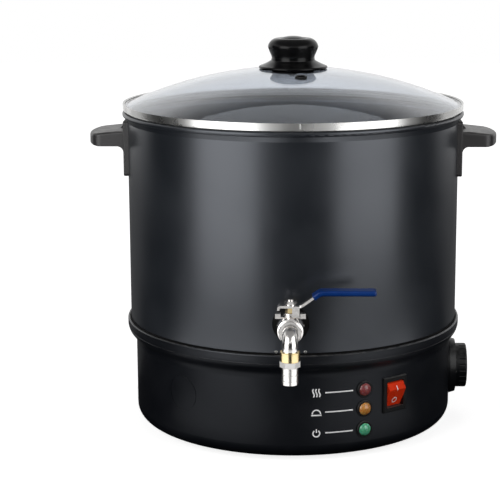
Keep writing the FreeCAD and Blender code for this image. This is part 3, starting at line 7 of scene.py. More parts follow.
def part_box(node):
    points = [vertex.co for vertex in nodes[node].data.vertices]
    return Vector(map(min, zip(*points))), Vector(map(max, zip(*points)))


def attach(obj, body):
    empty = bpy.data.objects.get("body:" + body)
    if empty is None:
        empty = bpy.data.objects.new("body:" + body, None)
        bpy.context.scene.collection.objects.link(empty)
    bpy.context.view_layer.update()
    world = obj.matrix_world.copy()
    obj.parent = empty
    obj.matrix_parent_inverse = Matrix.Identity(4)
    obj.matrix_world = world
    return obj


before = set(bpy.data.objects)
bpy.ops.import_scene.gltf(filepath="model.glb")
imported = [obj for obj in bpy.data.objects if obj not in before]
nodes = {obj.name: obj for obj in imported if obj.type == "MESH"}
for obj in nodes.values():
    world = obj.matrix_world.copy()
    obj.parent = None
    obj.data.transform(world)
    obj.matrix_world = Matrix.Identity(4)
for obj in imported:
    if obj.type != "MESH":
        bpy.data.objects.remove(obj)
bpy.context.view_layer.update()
scene = bpy.context.scene
scene.view_settings.view_transform = "Standard"


# --- Camera -----------------------------------------------------------------------------------
# A long lens a little above the lid, looking slightly down on the valve. The picture's middle
# lies to the left of the tank's axis, which the lens's small shift gives.

camera_distance = 1.713
camera_height = 0.547
camera_bearing = math.radians(0.75)
camera_pitch = math.radians(12.02)

camera = bpy.data.cameras.new("camera")
camera.sensor_width = 36.0
camera.lens = 116.8
camera.shift_x = -0.0862
camera_stand = bpy.data.objects.new("camera", camera)
camera_stand.location = (camera_distance * math.sin(camera_bearing),
                         -camera_distance * math.cos(camera_bearing), camera_height)
camera_stand.rotation_euler = (math.pi / 2 - camera_pitch, 0, camera_bearing)
scene.collection.objects.link(camera_stand)
scene.camera = camera_stand


# --- Lamps ------------------------------------------------------------------------------------
# Soft boxes of a plain studio: a tall one close by on each side draws the broad upright streaks
# on the tank, and a wide one overhead only fills the shadows. Cards on the table carry the
# streaks on down over the base and the metal, and each lights only the pieces named with it.

side_box_distance = 0.78
side_box_width = 0.58
side_box_height = 0.84
side_boxes = {"left_soft_box": (-40.5, 0.46, 3.25),      # bearing, height of middle, brightness
              "right_soft_box": (47.5, 0.485, 2.6)}
top_box_place = (0, 0.5, 1.6)
top_box_aim = (0, 0, 0.2)
top_box_width = 1.4
top_box_depth = 1.0
top_box_brightness = 1.2
card_lift = 0.001          # above the table


def soft_box(name, place, aim, width, height, brightness):
    """Rectangular lamp. Brightness is its radiance, and 1 looks white."""
    light = bpy.data.lights.new(name, "AREA")
    light.shape = "RECTANGLE"
    light.size = width
    light.size_y = height
    light.energy = brightness * math.pi * width * height
    lamp = bpy.data.objects.new(name, light)
    lamp.location = place
    lamp.rotation_euler = (Vector(aim) - Vector(place)).to_track_quat("-Z", "Y").to_euler()
    lamp.visible_camera = False
    scene.collection.objects.link(lamp)
    return lamp


def beside_tank(bearing, distance, height):
    """Place round the tank. The bearing is in degrees from the front, towards the dial."""
    turn = math.radians(bearing)
    return distance * math.sin(turn), -distance * math.cos(turn), height


def card(name, bearing, distance, width, depth, brightness, pieces):
    """Lamp that lies on the table, pointing up, and lights only the given pieces."""
    lamp = soft_box(name, beside_tank(bearing, distance, card_lift), (0, 0, 0), width, depth,
                    brightness)
    lamp.rotation_euler = (math.pi, 0, math.radians(bearing))
    lit = bpy.data.collections.new(name)
    for piece in pieces:
        lit.objects.link(piece)
    lamp.light_linking.receiver_collection = lit


def cad(*names):
    """CAD nodes of the given names."""
    return [nodes[name] for name in names]


for name, (bearing, middle, brightness) in side_boxes.items():
    soft_box(name, beside_tank(bearing, side_box_distance, middle), (0, 0, middle),
             side_box_width, side_box_height, brightness)
top_box = soft_box("top_soft_box", top_box_place, top_box_aim, top_box_width, top_box_depth,
                   top_box_brightness)
top_box.visible_glossy = False

valve_pieces = cad("valve_body", "valve_end_cap", "valve_stem", "tap_lever", "stem_nut",
                   "gland_nut")
metal_pieces = valve_pieces + cad("spout_pipe", "brass_coupler", "hose_tail")
foot_pieces = cad("base_shell", "collar_ring")

# Each card's bearing, distance, width, depth and brightness, and the pieces that it lights.
card("valve_card", 0, 0.95, 0.28, 0.90, 0.65, valve_pieces)
card("pipe_card", 0, 0.76, 0.30, 0.34, 0.75, cad("spout_pipe"))
card("left_rim_card", -40, 0.40, 0.46, 0.15, 3.2, cad("tank"))
card("right_rim_card", 47, 0.40, 0.46, 0.15, 2.5, cad("tank"))
card("left_band_card", -15, 1.50, 0.50, 1.30, 1.3, cad("lid_band"))
card("right_band_card", 16, 1.50, 0.50, 1.30, 1.4, cad("lid_band"))
card("left_metal_card", -39, 0.62, 0.62, 0.60, 1.5, metal_pieces)
card("right_metal_card", 42, 0.62, 0.62, 0.60, 1.4, metal_pieces)
card("left_foot_card", -36, 0.51, 0.26, 0.58, 0.62, foot_pieces)
card("right_foot_card", 38, 0.51, 0.26, 0.58, 0.58, foot_pieces)


# --- Room and table ---------------------------------------------------------------------------
# White walls under a dark ceiling, and a matt white table top that keeps the melter's shadow.
# Walls and table look white in glass and metal too. Black cloth hangs round the front, and
# black and grey cloth lies on the table, where satin paint would otherwise catch them.

room_light = 0.25
ceiling_light = 0.12       # as glass and metal show it
wall_top = 0.50            # sine of the elevation where the walls start to darken
ceiling_edge = 0.72        # sine of the elevation where the ceiling is fully dark
table_size = 8.0
table_drop = 0.0003        # keeps the table's plane off the foot's
table_colour = (0.8, 0.8, 0.8, 1)
table_lift = 0.80          # light added to the table near the melter
far_table_lift = 1.0
near_reach = 0.45          # distances from the axis between which that light rises
far_reach = 1.1
cloth_colour = (0.006, 0.006, 0.007, 1)
cloth_radius = 2.4
cloth_top = 1.3
cloth_hole = 0.145         # in the cloth on the table, round the melter's foot
cloth_front = 112          # bearing where the hanging cloth ends
cloth_side = 118           # bearing where the lying cloth turns grey
cloth_step = 5             # degrees between the corners of a cloth
grey_light = 0.12
white = (1, 1, 1, 1)


def add_node(tree, kind, inputs=(), **settings):
    """Shader node with its settings, and inputs given as values or as sockets to link from."""
    node = tree.nodes.new("ShaderNode" + kind)
    for setting, value in settings.items():
        setattr(node, setting, value)
    for place, value in dict(inputs).items():
        if isinstance(value, bpy.types.NodeSocket):
            tree.links.new(value, node.inputs[place])
        else:
            node.inputs[place].default_value = value
    return node


def calculate(tree, operation, first, second=0.0, clamp=False):
    """Output of a Math node."""
    node = add_node(tree, "Math", {0: first, 1: second}, operation=operation, use_clamp=clamp)
    return node.outputs[0]


def spread(tree, value, low, high, new_low=0.0, new_high=1.0):
    """Value mapped from one range to another, and held there."""
    node = add_node(tree, "MapRange", {"Value": value, "From Min": low, "From Max": high,
                                       "To Min": new_low, "To Max": new_high})
    return node.outputs["Result"]


def seen_directly(tree):
    """1 for rays from the camera, from gloss and through glass."""
    rays = add_node(tree, "LightPath").outputs
    shown = calculate(tree, "MAXIMUM", rays["Is Camera Ray"], rays["Is Glossy Ray"])
    return calculate(tree, "MAXIMUM", shown, rays["Is Transmission Ray"])


def matt_material(name, colour):
    """Dull material that can give off white light. Returns it, its tree and its shader."""
    material = bpy.data.materials.new(name)
    material.use_nodes = True
    shader = material.node_tree.nodes["Principled BSDF"]
    shader.inputs["Base Color"].default_value = colour
    shader.inputs["Roughness"].default_value = 0.9
    shader.inputs["Specular IOR Level"].default_value = 0.0
    shader.inputs["Emission Color"].default_value = white
    return material, material.node_tree, shader


def stage_sheet(name, corners, faces, material):
    """Flat or folded sheet that belongs to the studio."""
    mesh = bpy.data.meshes.new(name)
    mesh.from_pydata(corners, [], faces)
    mesh.materials.append(material)
    sheet = bpy.data.objects.new(name, mesh)
    scene.collection.objects.link(sheet)
    return sheet


room = bpy.data.worlds.new("room")
room.use_nodes = True
scene.world = room
tree = room.node_tree
sight = add_node(tree, "TexCoord").outputs["Generated"]
elevation = add_node(tree, "SeparateXYZ", {0: sight}).outputs["Z"]
ceiling = spread(tree, elevation, wall_top, ceiling_edge, 1.0, ceiling_light)
walls = calculate(tree, "MULTIPLY", seen_directly(tree), ceiling)
to_camera = add_node(tree, "LightPath").outputs["Is Camera Ray"]
shown = calculate(tree, "MAXIMUM", calculate(tree, "MAXIMUM", walls, to_camera), room_light)
room_background = tree.nodes["Background"]
room_background.inputs["Color"].default_value = white
tree.links.new(shown, room_background.inputs["Strength"])

table_material, tree, shader = matt_material("table", table_colour)
table_place = add_node(tree, "TexCoord").outputs["Object"]
from_melter = add_node(tree, "VectorMath", {0: table_place}, operation="LENGTH").outputs["Value"]
lift = spread(tree, from_melter, near_reach, far_reach, table_lift, far_table_lift)
tree.links.new(calculate(tree, "MULTIPLY", seen_directly(tree), lift),
               shader.inputs["Emission Strength"])
reach = table_size / 2
table_corners = [(x * reach, y * reach, -table_drop)
                 for x, y in ((-1, -1), (1, -1), (1, 1), (-1, 1))]
stage_sheet("table", table_corners, [(0, 1, 2, 3)], table_material)


def lay_cloth(name, low, high, start, end, light):
    """Cloth between two rings of a given radius and height, from one bearing to another."""
    material, tree, shader = matt_material(name, cloth_colour)
    shader.inputs["Emission Strength"].default_value = light
    steps = round((end - start) / cloth_step)
    corners = [beside_tank(start + (end - start) * i / steps, radius, height)
               for radius, height in (low, high) for i in range(steps + 1)]
    faces = [(i, i + 1, steps + 2 + i, steps + 1 + i) for i in range(steps)]
    cloth = stage_sheet(name, corners, faces, material)
    cloth.visible_camera = False
    cloth.visible_transmission = False
    cloth.visible_shadow = False


lay_cloth("hanging_cloth", (cloth_radius, 0), (cloth_radius, cloth_top), -cloth_front,
          cloth_front, 0.0)
lay_cloth("black_cloth", (cloth_hole, 0), (cloth_radius, 0), -cloth_side, cloth_side, 0.0)
lay_cloth("grey_cloth", (cloth_hole, 0), (cloth_radius, 0), cloth_side, 360 - cloth_side,
          grey_light)


# --- Tank -------------------------------------------------------------------------------------
# A drawn pot of thin steel with a rolled bead at the rim. Outside it is sprayed with satin black
# paint, which has a faint orange peel. Inside it is bare, and polished round and round.

paint_colour = (0.0060, 0.0074, 0.0098, 1)
paint_worn = (0.0080, 0.0096, 0.0122, 1)
# Inside colours, far darker than bare steel, are painted shade of the covered inside.
inner_shade_steel = (0.115, 0.125, 0.145, 1)
dull_inner_shade = (0.090, 0.100, 0.115, 1)
floor_margin = 0.0005      # how far into the floor's sheet the bare steel is taken to go
dust_colour = (0.45, 0.44, 0.42, 1)


def new_group(name, inputs, outputs):
    """Shader node group with named sockets. Returns its tree, its input and its output node."""
    kinds = {"colour": "NodeSocketColor", "value": "NodeSocketFloat", "vector": "NodeSocketVector"}
    tree = bpy.data.node_groups.new(name, "ShaderNodeTree")
    for label, kind, value in inputs:
        socket = tree.interface.new_socket(label, in_out="INPUT", socket_type=kinds[kind])
        socket.default_value = value
    for label, kind in outputs:
        tree.interface.new_socket(label, in_out="OUTPUT", socket_type=kinds[kind])
    return tree, tree.nodes.new("NodeGroupInput"), tree.nodes.new("NodeGroupOutput")


def mixed(tree, factor, first, second):
    """Colour output of a Mix node."""
    node = add_node(tree, "Mix", {0: factor, 6: first, 7: second}, data_type="RGBA")
    return node.outputs[2]


def object_place(tree):
    """Place of each point in the piece's own space, in metres."""
    return add_node(tree, "TexCoord").outputs["Object"]


def noise(tree, vector, scale, detail, distortion=0.0):
    """Cloudy value between 0 and 1."""
    node = add_node(tree, "TexNoise", {"Vector": vector, "Scale": scale, "Detail": detail,
                                       "Distortion": distortion})
    return node.outputs["Fac"]


# Fine relief of a sprayed, moulded or cast skin. Its height is in metres.
grain, grain_in, grain_out = new_group(
    "grain", [("Scale", "value", 900.0), ("Depth", "value", 0.00002)], [("Height", "value")])
grain_noise = noise(grain, object_place(grain), grain_in.outputs["Scale"], detail=2.0)
grain_centred = calculate(grain, "SUBTRACT", grain_noise, 0.5)
grain.links.new(calculate(grain, "MULTIPLY", grain_centred, grain_in.outputs["Depth"]),
                grain_out.inputs["Height"])

# Slow change of colour and gloss over a surface, from handling and from the making.
tone, tone_in, tone_out = new_group(
    "tone",
    [("Colour", "colour", (0.5, 0.5, 0.5, 1)), ("Second Colour", "colour", (0.4, 0.4, 0.4, 1)),
     ("Scale", "value", 30.0), ("Low Roughness", "value", 0.3), ("High Roughness", "value", 0.4)],
    [("Colour", "colour"), ("Roughness", "value")])
tone_noise = noise(tone, object_place(tone), tone_in.outputs["Scale"], detail=4.0,
                   distortion=0.6)
tone_mask = spread(tone, tone_noise, 0.35, 0.65)
tone.links.new(mixed(tone, tone_mask, tone_in.outputs["Colour"], tone_in.outputs["Second Colour"]),
               tone_out.inputs["Colour"])
tone.links.new(spread(tone, tone_noise, 0.3, 0.7, tone_in.outputs["Low Roughness"],
                      tone_in.outputs["High Roughness"]),
               tone_out.inputs["Roughness"])

# Lines of turning, polishing or brushing, which run round an axis. Their height is in metres.
turning, turning_in, turning_out = new_group(
    "turning",
    [("Centre", "vector", (0, 0, 0)), ("Axis", "vector", (0, 0, 1)), ("Scale", "value", 2000.0),
     ("Depth", "value", 0.00001)],
    [("Height", "value")])
turning_axis = turning_in.outputs["Axis"]
from_centre = add_node(turning, "VectorMath",
                       {0: object_place(turning), 1: turning_in.outputs["Centre"]},
                       operation="SUBTRACT").outputs[0]
along_axis = add_node(turning, "VectorMath", {0: from_centre, 1: turning_axis},
                      operation="DOT_PRODUCT").outputs["Value"]
on_axis = add_node(turning, "VectorMath", {0: turning_axis, "Scale": along_axis},
                   operation="SCALE").outputs[0]
off_axis = add_node(turning, "VectorMath", {0: from_centre, 1: on_axis},
                    operation="SUBTRACT").outputs[0]
from_axis = add_node(turning, "VectorMath", {0: off_axis}, operation="LENGTH").outputs["Value"]
rings = add_node(turning, "CombineXYZ", {0: along_axis, 1: from_axis}).outputs[0]
ring_noise = noise(turning, rings, turning_in.outputs["Scale"], detail=2.0)
broken = noise(turning, object_place(turning), scale=60.0, detail=2.0)
ring_lines = calculate(turning, "MULTIPLY", calculate(turning, "SUBTRACT", ring_noise, 0.5), broken)
turning.links.new(calculate(turning, "MULTIPLY", ring_lines, turning_in.outputs["Depth"]),
                  turning_out.inputs["Height"])

# Dust that has settled on what faces up.
dust, dust_in, dust_out = new_group(
    "dust", [("Colour", "colour", (0.1, 0.1, 0.1, 1)), ("Amount", "value", 0.1)],
    [("Colour", "colour")])
facing_up = add_node(dust, "SeparateXYZ", {0: add_node(dust, "NewGeometry").outputs["Normal"]})
flatness = calculate(dust, "POWER", calculate(dust, "MAXIMUM", facing_up.outputs["Z"], 0.0), 3.0)
dust_noise = noise(dust, object_place(dust), scale=180.0, detail=5.0)
dust_patches = spread(dust, dust_noise, 0.35, 0.75)
dust_cover = calculate(dust, "MULTIPLY", calculate(dust, "MULTIPLY", flatness, dust_patches),
                       dust_in.outputs["Amount"], clamp=True)
dust.links.new(mixed(dust, dust_cover, dust_in.outputs["Colour"], dust_colour),
               dust_out.inputs["Colour"])


def new_surface(name, metallic=0.0, specular=0.5, coat=0.0, tint=white):
    """Material with a plain Principled shader. Returns the material, its tree and its shader."""
    material = bpy.data.materials.new(name)
    material.use_nodes = True
    shader = material.node_tree.nodes["Principled BSDF"]
    shader.inputs["Metallic"].default_value = metallic
    shader.inputs["Specular IOR Level"].default_value = specular
    shader.inputs["Specular Tint"].default_value = tint
    shader.inputs["Coat Weight"].default_value = coat
    return material, material.node_tree, shader


def placed(tree, group, inputs):
    """Outputs of a node group that is placed in a material."""
    return add_node(tree, "Group", inputs, node_tree=group).outputs


def mottled(tree, colour, second, scale, low, high):
    """Colour and roughness that change slowly between two colours and two roughnesses."""
    return placed(tree, tone, {"Colour": colour, "Second Colour": second, "Scale": scale,
                               "Low Roughness": low, "High Roughness": high})


def grained(tree, scale, depth):
    """Height of a sprayed, moulded or cast skin."""
    return placed(tree, grain, {"Scale": scale, "Depth": depth})["Height"]


def turned(tree, scale, depth, axis=(0, 0, 1), centre=(0, 0, 0)):
    """Height of turned, polished or brushed lines."""
    return placed(tree, turning, {"Scale": scale, "Depth": depth, "Axis": axis,
                                  "Centre": centre})["Height"]


def finish(tree, shader, colour, roughness):
    """Give a surface its colour and roughness."""
    tree.links.new(colour, shader.inputs["Base Color"])
    tree.links.new(roughness, shader.inputs["Roughness"])


def finish_by_mask(tree, shader, mask, first, second):
    """Give a surface one finish where the mask is 0 and another where it is 1.

    A finish is a pair of colour and roughness."""
    first_colour, first_roughness = first
    second_colour, second_roughness = second
    finish(tree, shader, mixed(tree, mask, first_colour, second_colour),
           spread(tree, mask, 0.0, 1.0, first_roughness, second_roughness))


def emboss(tree, shader, height):
    """Relief of a surface, from a height in metres."""
    bump = add_node(tree, "Bump", {"Height": height, "Distance": 1.0})
    tree.links.new(bump.outputs["Normal"], shader.inputs["Normal"])


def about_axis(tree):
    """Distance from the tank's axis and height, of each point of a piece."""
    x, y, z = add_node(tree, "SeparateXYZ", {0: object_place(tree)}).outputs
    squared = calculate(tree, "ADD", calculate(tree, "POWER", x, 2.0),
                        calculate(tree, "POWER", y, 2.0))
    return calculate(tree, "SQRT", squared), z


def dress(material, *names):
    """Give CAD nodes a material."""
    for node in cad(*names):
        node.material_slots[0].material = material


def touch(name, start, direction):
    """Point where a line first meets a CAD node, and the surface's direction there."""
    found, point, normal, _ = nodes[name].ray_cast(Vector(start), Vector(direction).normalized())
    if not found:
        raise ValueError(f"nothing of {name} lies that way")
    return point, normal


tank_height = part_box("tank")[1].z
tank_outside = touch("tank", (1, 0, tank_height / 2), (-1, 0, 0))[0].x
tank_inside = touch("tank", (0, 0, tank_height / 2), (1, 0, 0))[0].x
tank_floor = touch("tank", (0, 0, tank_height), (0, 0, -1))[0].z

cool_gloss = (0.88, 0.92, 1.0, 1)      # sheen of the black finishes
tank_paint, tree, shader = new_surface("tank_paint", specular=0.8, tint=cool_gloss)
distance, up = about_axis(tree)
within = calculate(tree, "LESS_THAN", distance, (tank_outside + tank_inside) / 2)
above = calculate(tree, "GREATER_THAN", up, tank_floor - floor_margin)
bare = calculate(tree, "MULTIPLY", within, above)
paint_tone = mottled(tree, paint_colour, paint_worn, scale=14.0, low=0.30, high=0.35)
inner_shade_tone = mottled(tree, inner_shade_steel, dull_inner_shade, scale=9.0, low=0.34, high=0.44)
paint_dust = placed(tree, dust, {"Colour": paint_tone["Colour"], "Amount": 0.15})
finish_by_mask(tree, shader, bare, (paint_dust["Colour"], paint_tone["Roughness"]), inner_shade_tone)
tree.links.new(bare, shader.inputs["Metallic"])
orange_peel = grained(tree, scale=420.0, depth=0.00003)
polish = turned(tree, scale=1400.0, depth=0.00003)
emboss(tree, shader, spread(tree, bare, 0.0, 1.0, orange_peel, polish))
dress(tank_paint, "tank")


# --- Collar and mounting ring -----------------------------------------------------------------
# A moulded collar with a rounded top trims the tank's foot. Behind it a folded ring of plated
# steel, screwed to the base's ledge, carries the tank. Small plated screws pin the collar.

plastic_tone_scale = 22.0
metal_tone_scale = 45.0


def moulded_plastic(name, colour, second, low, high, scale=1500.0, depth=0.00003, dusty=0.2,
                    specular=0.5, tint=white):
    """Moulded plastic or rubber with a fine spark-eroded grain."""
    material, tree, shader = new_surface(name, specular=specular, tint=tint)
    mottle = mottled(tree, colour, second, plastic_tone_scale, low, high)
    settled = placed(tree, dust, {"Colour": mottle["Colour"], "Amount": dusty})
    finish(tree, shader, settled["Colour"], mottle["Roughness"])
    emboss(tree, shader, grained(tree, scale, depth))
    return material


def metal(name, colour, second, low, high, axis=(0, 0, 1), centre=(0, 0, 0), lines=2500.0,
          line_depth=0.00001, wave_scale=90.0, wave_depth=0.0):
    """Metal with turned or brushed lines round an axis, and the slow waves of a cast skin."""
    material, tree, shader = new_surface(name, metallic=1.0)
    finish(tree, shader, *mottled(tree, colour, second, metal_tone_scale, low, high))
    emboss(tree, shader, calculate(tree, "ADD", turned(tree, lines, line_depth, axis, centre),
                                   grained(tree, wave_scale, wave_depth)))
    return material


collar_plastic = moulded_plastic("collar_plastic", (0.0032, 0.0038, 0.0052, 1),
                                 (0.0044, 0.0050, 0.0066, 1), low=0.34, high=0.42, scale=1800.0,
                                 depth=0.00001, tint=cool_gloss)
dress(collar_plastic, "collar_ring")

# A black strip in the chamfer between collar and tank is painted shade: the gap's shadow line.
shade_strip_black = moulded_plastic("shade_strip_black", (0.0016, 0.0016, 0.0018, 1),
                              (0.0024, 0.0024, 0.0026, 1), low=0.7, high=0.85, specular=0.1,
                              dusty=0.0)
collar_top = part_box("collar_ring")[1].z
bead_gap = 0.0001          # from the tank
bead_width = 0.0014
bead_depth = 0.0008        # below the collar's top
bead_rise = 0.0016         # above it
bead_steps = 180
bead_profile = [(0.0, -bead_depth), (0.5, -bead_depth), (1.0, 0.2 * bead_rise),
                (0.8, 0.75 * bead_rise), (0.3, bead_rise), (0.0, bead_rise)]
bead_section = [(tank_outside + bead_gap + bead_width * share, collar_top + rise)
                for share, rise in bead_profile]
bead_mesh = bpy.data.meshes.new("collar_shade_strip")
bead_corners = [beside_tank(360 * i / bead_steps, radius, height)
                for i in range(bead_steps) for radius, height in bead_section]
sides = len(bead_section)
bead_faces = [(i * sides + k, i * sides + (k + 1) % sides,
               (i + 1) % bead_steps * sides + (k + 1) % sides, (i + 1) % bead_steps * sides + k)
              for i in range(bead_steps) for k in range(sides)]
bead_mesh.from_pydata(bead_corners, [], bead_faces)
bead_mesh.materials.append(shade_strip_black)
collar_shade_strip = bpy.data.objects.new("collar_shade_strip", bead_mesh)
scene.collection.objects.link(collar_shade_strip)
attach(collar_shade_strip, "melter")

plated_steel = metal("plated_steel", (0.42, 0.42, 0.41, 1), (0.34, 0.34, 0.33, 1), low=0.34,
                     high=0.46, lines=1500.0)
dress(plated_steel, "mounting_ring", "mounting_screws", "collar_screws", "cover_screws",
      "handle_screws", "thermostat_screws", "inlet_screws", "thermostat_shaft", "knob_screw")


# --- Base -------------------------------------------------------------------------------------
# One deep moulding of black plastic with an S-shaped flare under the collar. A sheet of
# galvanised steel closes it below, and a ring of rubber keeps it off the table.

base_plastic = moulded_plastic("base_plastic", (0.0030, 0.0036, 0.0050, 1),
                               (0.0042, 0.0048, 0.0064, 1), low=0.33, high=0.40, scale=1300.0,
                               depth=0.00004, specular=0.35, tint=cool_gloss)
dress(base_plastic, "base_shell")

foot_rubber = moulded_plastic("foot_rubber", (0.014, 0.014, 0.014, 1), (0.024, 0.023, 0.022, 1),
                              low=0.65, high=0.85, scale=700.0, depth=0.00005, specular=0.3)
dress(foot_rubber, "foot_ring")

cover_steel, tree, shader = new_surface("cover_steel", metallic=1.0)
spangle = add_node(tree, "TexVoronoi", {"Vector": object_place(tree), "Scale": 90.0})
spangle_shade = add_node(tree, "SeparateColor", {0: spangle.outputs["Color"]}).outputs[0]
finish(tree, shader, mixed(tree, spangle_shade, (0.42, 0.44, 0.46, 1), (0.66, 0.68, 0.70, 1)),
       spread(tree, spangle_shade, 0.0, 1.0, 0.32, 0.52))
emboss(tree, shader, grained(tree, scale=500.0, depth=0.00002))
dress(cover_steel, "bottom_cover")


# --- Heater -----------------------------------------------------------------------------------
# A cast plate under the tank's floor holds a tubular element, a bulb that feels the heat and a
# safety cut-out. A pad of ceramic fibre in a pressed dish keeps the heat away from the base.

cast_aluminium = metal("cast_aluminium", (0.62, 0.62, 0.61, 1), (0.50, 0.50, 0.49, 1), low=0.38,
                       high=0.55, lines=900.0, line_depth=0.00003, wave_scale=1100.0,
                       wave_depth=0.00008)
dress(cast_aluminium, "heating_plate", "heat_shield")

element_sheath = metal("element_sheath", (0.20, 0.19, 0.17, 1), (0.34, 0.25, 0.17, 1), low=0.42,
                       high=0.60, lines=700.0, wave_scale=600.0, wave_depth=0.00004)
dress(element_sheath, "heating_element", "thermal_cutout")

copper_tube = metal("copper_tube", (0.72, 0.33, 0.19, 1), (0.42, 0.19, 0.11, 1), low=0.24,
                    high=0.42, lines=1200.0, wave_scale=300.0, wave_depth=0.00003)
dress(copper_tube, "sensing_bulb", "capillary_tube")

felt_depth = 0.0006
ceramic_fibre, tree, shader = new_surface("ceramic_fibre", specular=0.2)
strands = add_node(tree, "Mapping", {"Vector": object_place(tree), "Scale": (1.0, 0.25, 1.0)})
felt = noise(tree, strands.outputs["Vector"], scale=700.0, detail=8.0, distortion=3.0)
finish(tree, shader, mixed(tree, felt, (0.62, 0.60, 0.55, 1), (0.86, 0.85, 0.81, 1)),
       spread(tree, felt, 0.3, 0.7, 0.85, 0.98))
emboss(tree, shader, calculate(tree, "MULTIPLY", felt, felt_depth))
dress(ceramic_fibre, "insulation_pad")


# --- Thermostat and dial ----------------------------------------------------------------------
# A capillary thermostat behind the wall, turned by a fluted black knob that stands in a round
# bezel on the right. The bezel carries a plain printed scale, and a groove in the knob points
# to it.

dial_plastic = moulded_plastic("dial_plastic", (0.0040, 0.0044, 0.0052, 1),
                               (0.0060, 0.0064, 0.0072, 1), low=0.34, high=0.44, scale=1600.0,
                               depth=0.00001, specular=0.25)
dress(dial_plastic, "dial_bezel", "thermostat_knob")

dark_moulding = moulded_plastic("dark_moulding", (0.0045, 0.0045, 0.0050, 1),
                                (0.0065, 0.0065, 0.0070, 1), low=0.40, high=0.50, scale=1100.0,
                                specular=0.4)
dress(dark_moulding, "thermostat_body", "switch_housing", "lamp_holders", "lamp_nuts",
      "mains_inlet")

# White ink of the scale, the signs beside the lamps and the marks on the switch.
ink, tree, shader = new_surface("white_ink", specular=0.3)
finish(tree, shader, *mottled(tree, (0.92, 0.92, 0.92, 1), (0.82, 0.82, 0.83, 1), scale=500.0,
                              low=0.45, high=0.6))
emboss(tree, shader, grained(tree, scale=3000.0, depth=0.00001))

ink_thickness = 0.00012


def stroke(points, width, closed=False):
    """Edges of a flat line of a given width: pairs of points on its left and right."""
    pairs = []
    last = len(points) - 1
    for i, (x, y) in enumerate(points):
        before = points[i - 1] if i > 0 or closed else points[i]
        after = points[(i + 1) % len(points)] if i < last or closed else points[i]
        along = Vector((after[0] - before[0], after[1] - before[1])).normalized() * width / 2
        pairs.append(((x - along.y, y + along.x), (x + along.y, y - along.x)))
    return pairs + pairs[:1] if closed else pairs


def curve_points(x, y, radius, start, end, steps):
    """Points on an arc, with its angles in degrees."""
    turns = [math.radians(start + (end - start) * i / steps) for i in range(steps + 1)]
    return [(x + radius * math.cos(turn), y + radius * math.sin(turn)) for turn in turns]


def straight(start, end, steps=8):
    """Points on a straight line."""
    return [(start[0] + (end[0] - start[0]) * i / steps, start[1] + (end[1] - start[1]) * i / steps)
            for i in range(steps + 1)]


def film_place(name, start, direction, thickness=ink_thickness):
    """Middle of a film that lies where a line first meets a CAD node."""
    point, normal = touch(name, start, direction)
    return point + normal * thickness / 2


def print_on(name, strokes, lay, body, material=ink):
    """Thin closed film along flat strokes. Lay turns a flat point into a place on a piece."""
    skin = bmesh.new()
    for pairs in strokes:
        rows = [[skin.verts.new(lay(*point)) for point in pair] for pair in pairs]
        for near, far in zip(rows, rows[1:]):
            skin.faces.new((near[0], near[1], far[1], far[0]))
    bmesh.ops.remove_doubles(skin, verts=skin.verts, dist=1e-7)
    mesh = bpy.data.meshes.new(name)
    skin.to_mesh(mesh)
    skin.free()
    mesh.materials.append(material)
    film = bpy.data.objects.new(name, mesh)
    scene.collection.objects.link(film)
    thickness = film.modifiers.new("thickness", "SOLIDIFY")
    thickness.thickness = ink_thickness
    thickness.offset = 0.0
    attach(film, body)
    return film


dial_low, dial_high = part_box("thermostat_knob")
dial_centre = (dial_low + dial_high) / 2
dial_radius = (dial_high.z - dial_low.z) / 2
dial_sweep = 270.0
bezel_low, bezel_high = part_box("dial_bezel")
bezel_radius = (bezel_high.z - bezel_low.z) / 2
scale_clearance = 0.0012   # from the knob
scale_margin = 0.0022      # from the bezel's edge
scale_inner = dial_radius + scale_clearance
scale_outer = bezel_radius - scale_margin
scale_steps = 6
ticks_per_step = 4
long_tick = (0.0018, 0.0006)           # length and width
short_tick = (0.0010, 0.00035)
number_height = 0.0034
number_radius = (scale_inner + long_tick[0] + scale_outer) / 2


def on_bezel(across, up):
    """Place on the bezel's face. Across and up are measured from the knob's middle."""
    return film_place("dial_bezel", (1, dial_centre.y + across, dial_centre.z + up), (-1, 0, 0))


def dial_point(radius, turn):
    """Flat place on the bezel. The turn is in degrees, clockwise from the top."""
    return radius * math.sin(math.radians(turn)), radius * math.cos(math.radians(turn))


ticks = []
for i in range(ticks_per_step * scale_steps + 1):
    turn = dial_sweep * i / (ticks_per_step * scale_steps)
    length, width = long_tick if i % ticks_per_step == 0 else short_tick
    ticks.append(stroke(straight(dial_point(scale_inner, turn),
                                 dial_point(scale_inner + length, turn), 2), width))
print_on("dial_scale", ticks, on_bezel, "melter")

for i in range(scale_steps + 1):
    number = bpy.data.curves.new(f"dial_number_{i}", "FONT")
    number.body = str(i)
    number.size = number_height
    number.extrude = ink_thickness / 2
    number.align_x = "CENTER"
    number.align_y = "CENTER"
    number.materials.append(ink)
    across, up = dial_point(number_radius, dial_sweep * i / scale_steps)
    numeral = bpy.data.objects.new(f"dial_number_{i}", number)
    numeral.matrix_world = Matrix.Translation(on_bezel(across, up)) @ Matrix(
        ((0, 0, 1, 0), (1, 0, 0, 0), (0, 1, 0, 0), (0, 0, 0, 1)))
    scene.collection.objects.link(numeral)
    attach(numeral, "melter")


# --- Rocker switch ----------------------------------------------------------------------------
# A red snap-in rocker in a black frame, moulded in one piece of slightly see-through plastic,
# with the usual bar and circle printed on its two halves.

red_rocker, tree, shader = new_surface("red_rocker", specular=0.06)
shader.inputs["Subsurface Weight"].default_value = 0.15
shader.inputs["Subsurface Scale"].default_value = 0.002
shader.inputs["Subsurface Radius"].default_value = (1.0, 0.2, 0.1)
finish(tree, shader, *mottled(tree, (0.66, 0.036, 0.008, 1), (0.60, 0.032, 0.007, 1),
                              scale=120.0, low=0.22, high=0.32))
emboss(tree, shader, grained(tree, scale=1500.0, depth=0.00001))
dress(red_rocker, "switch_rocker")

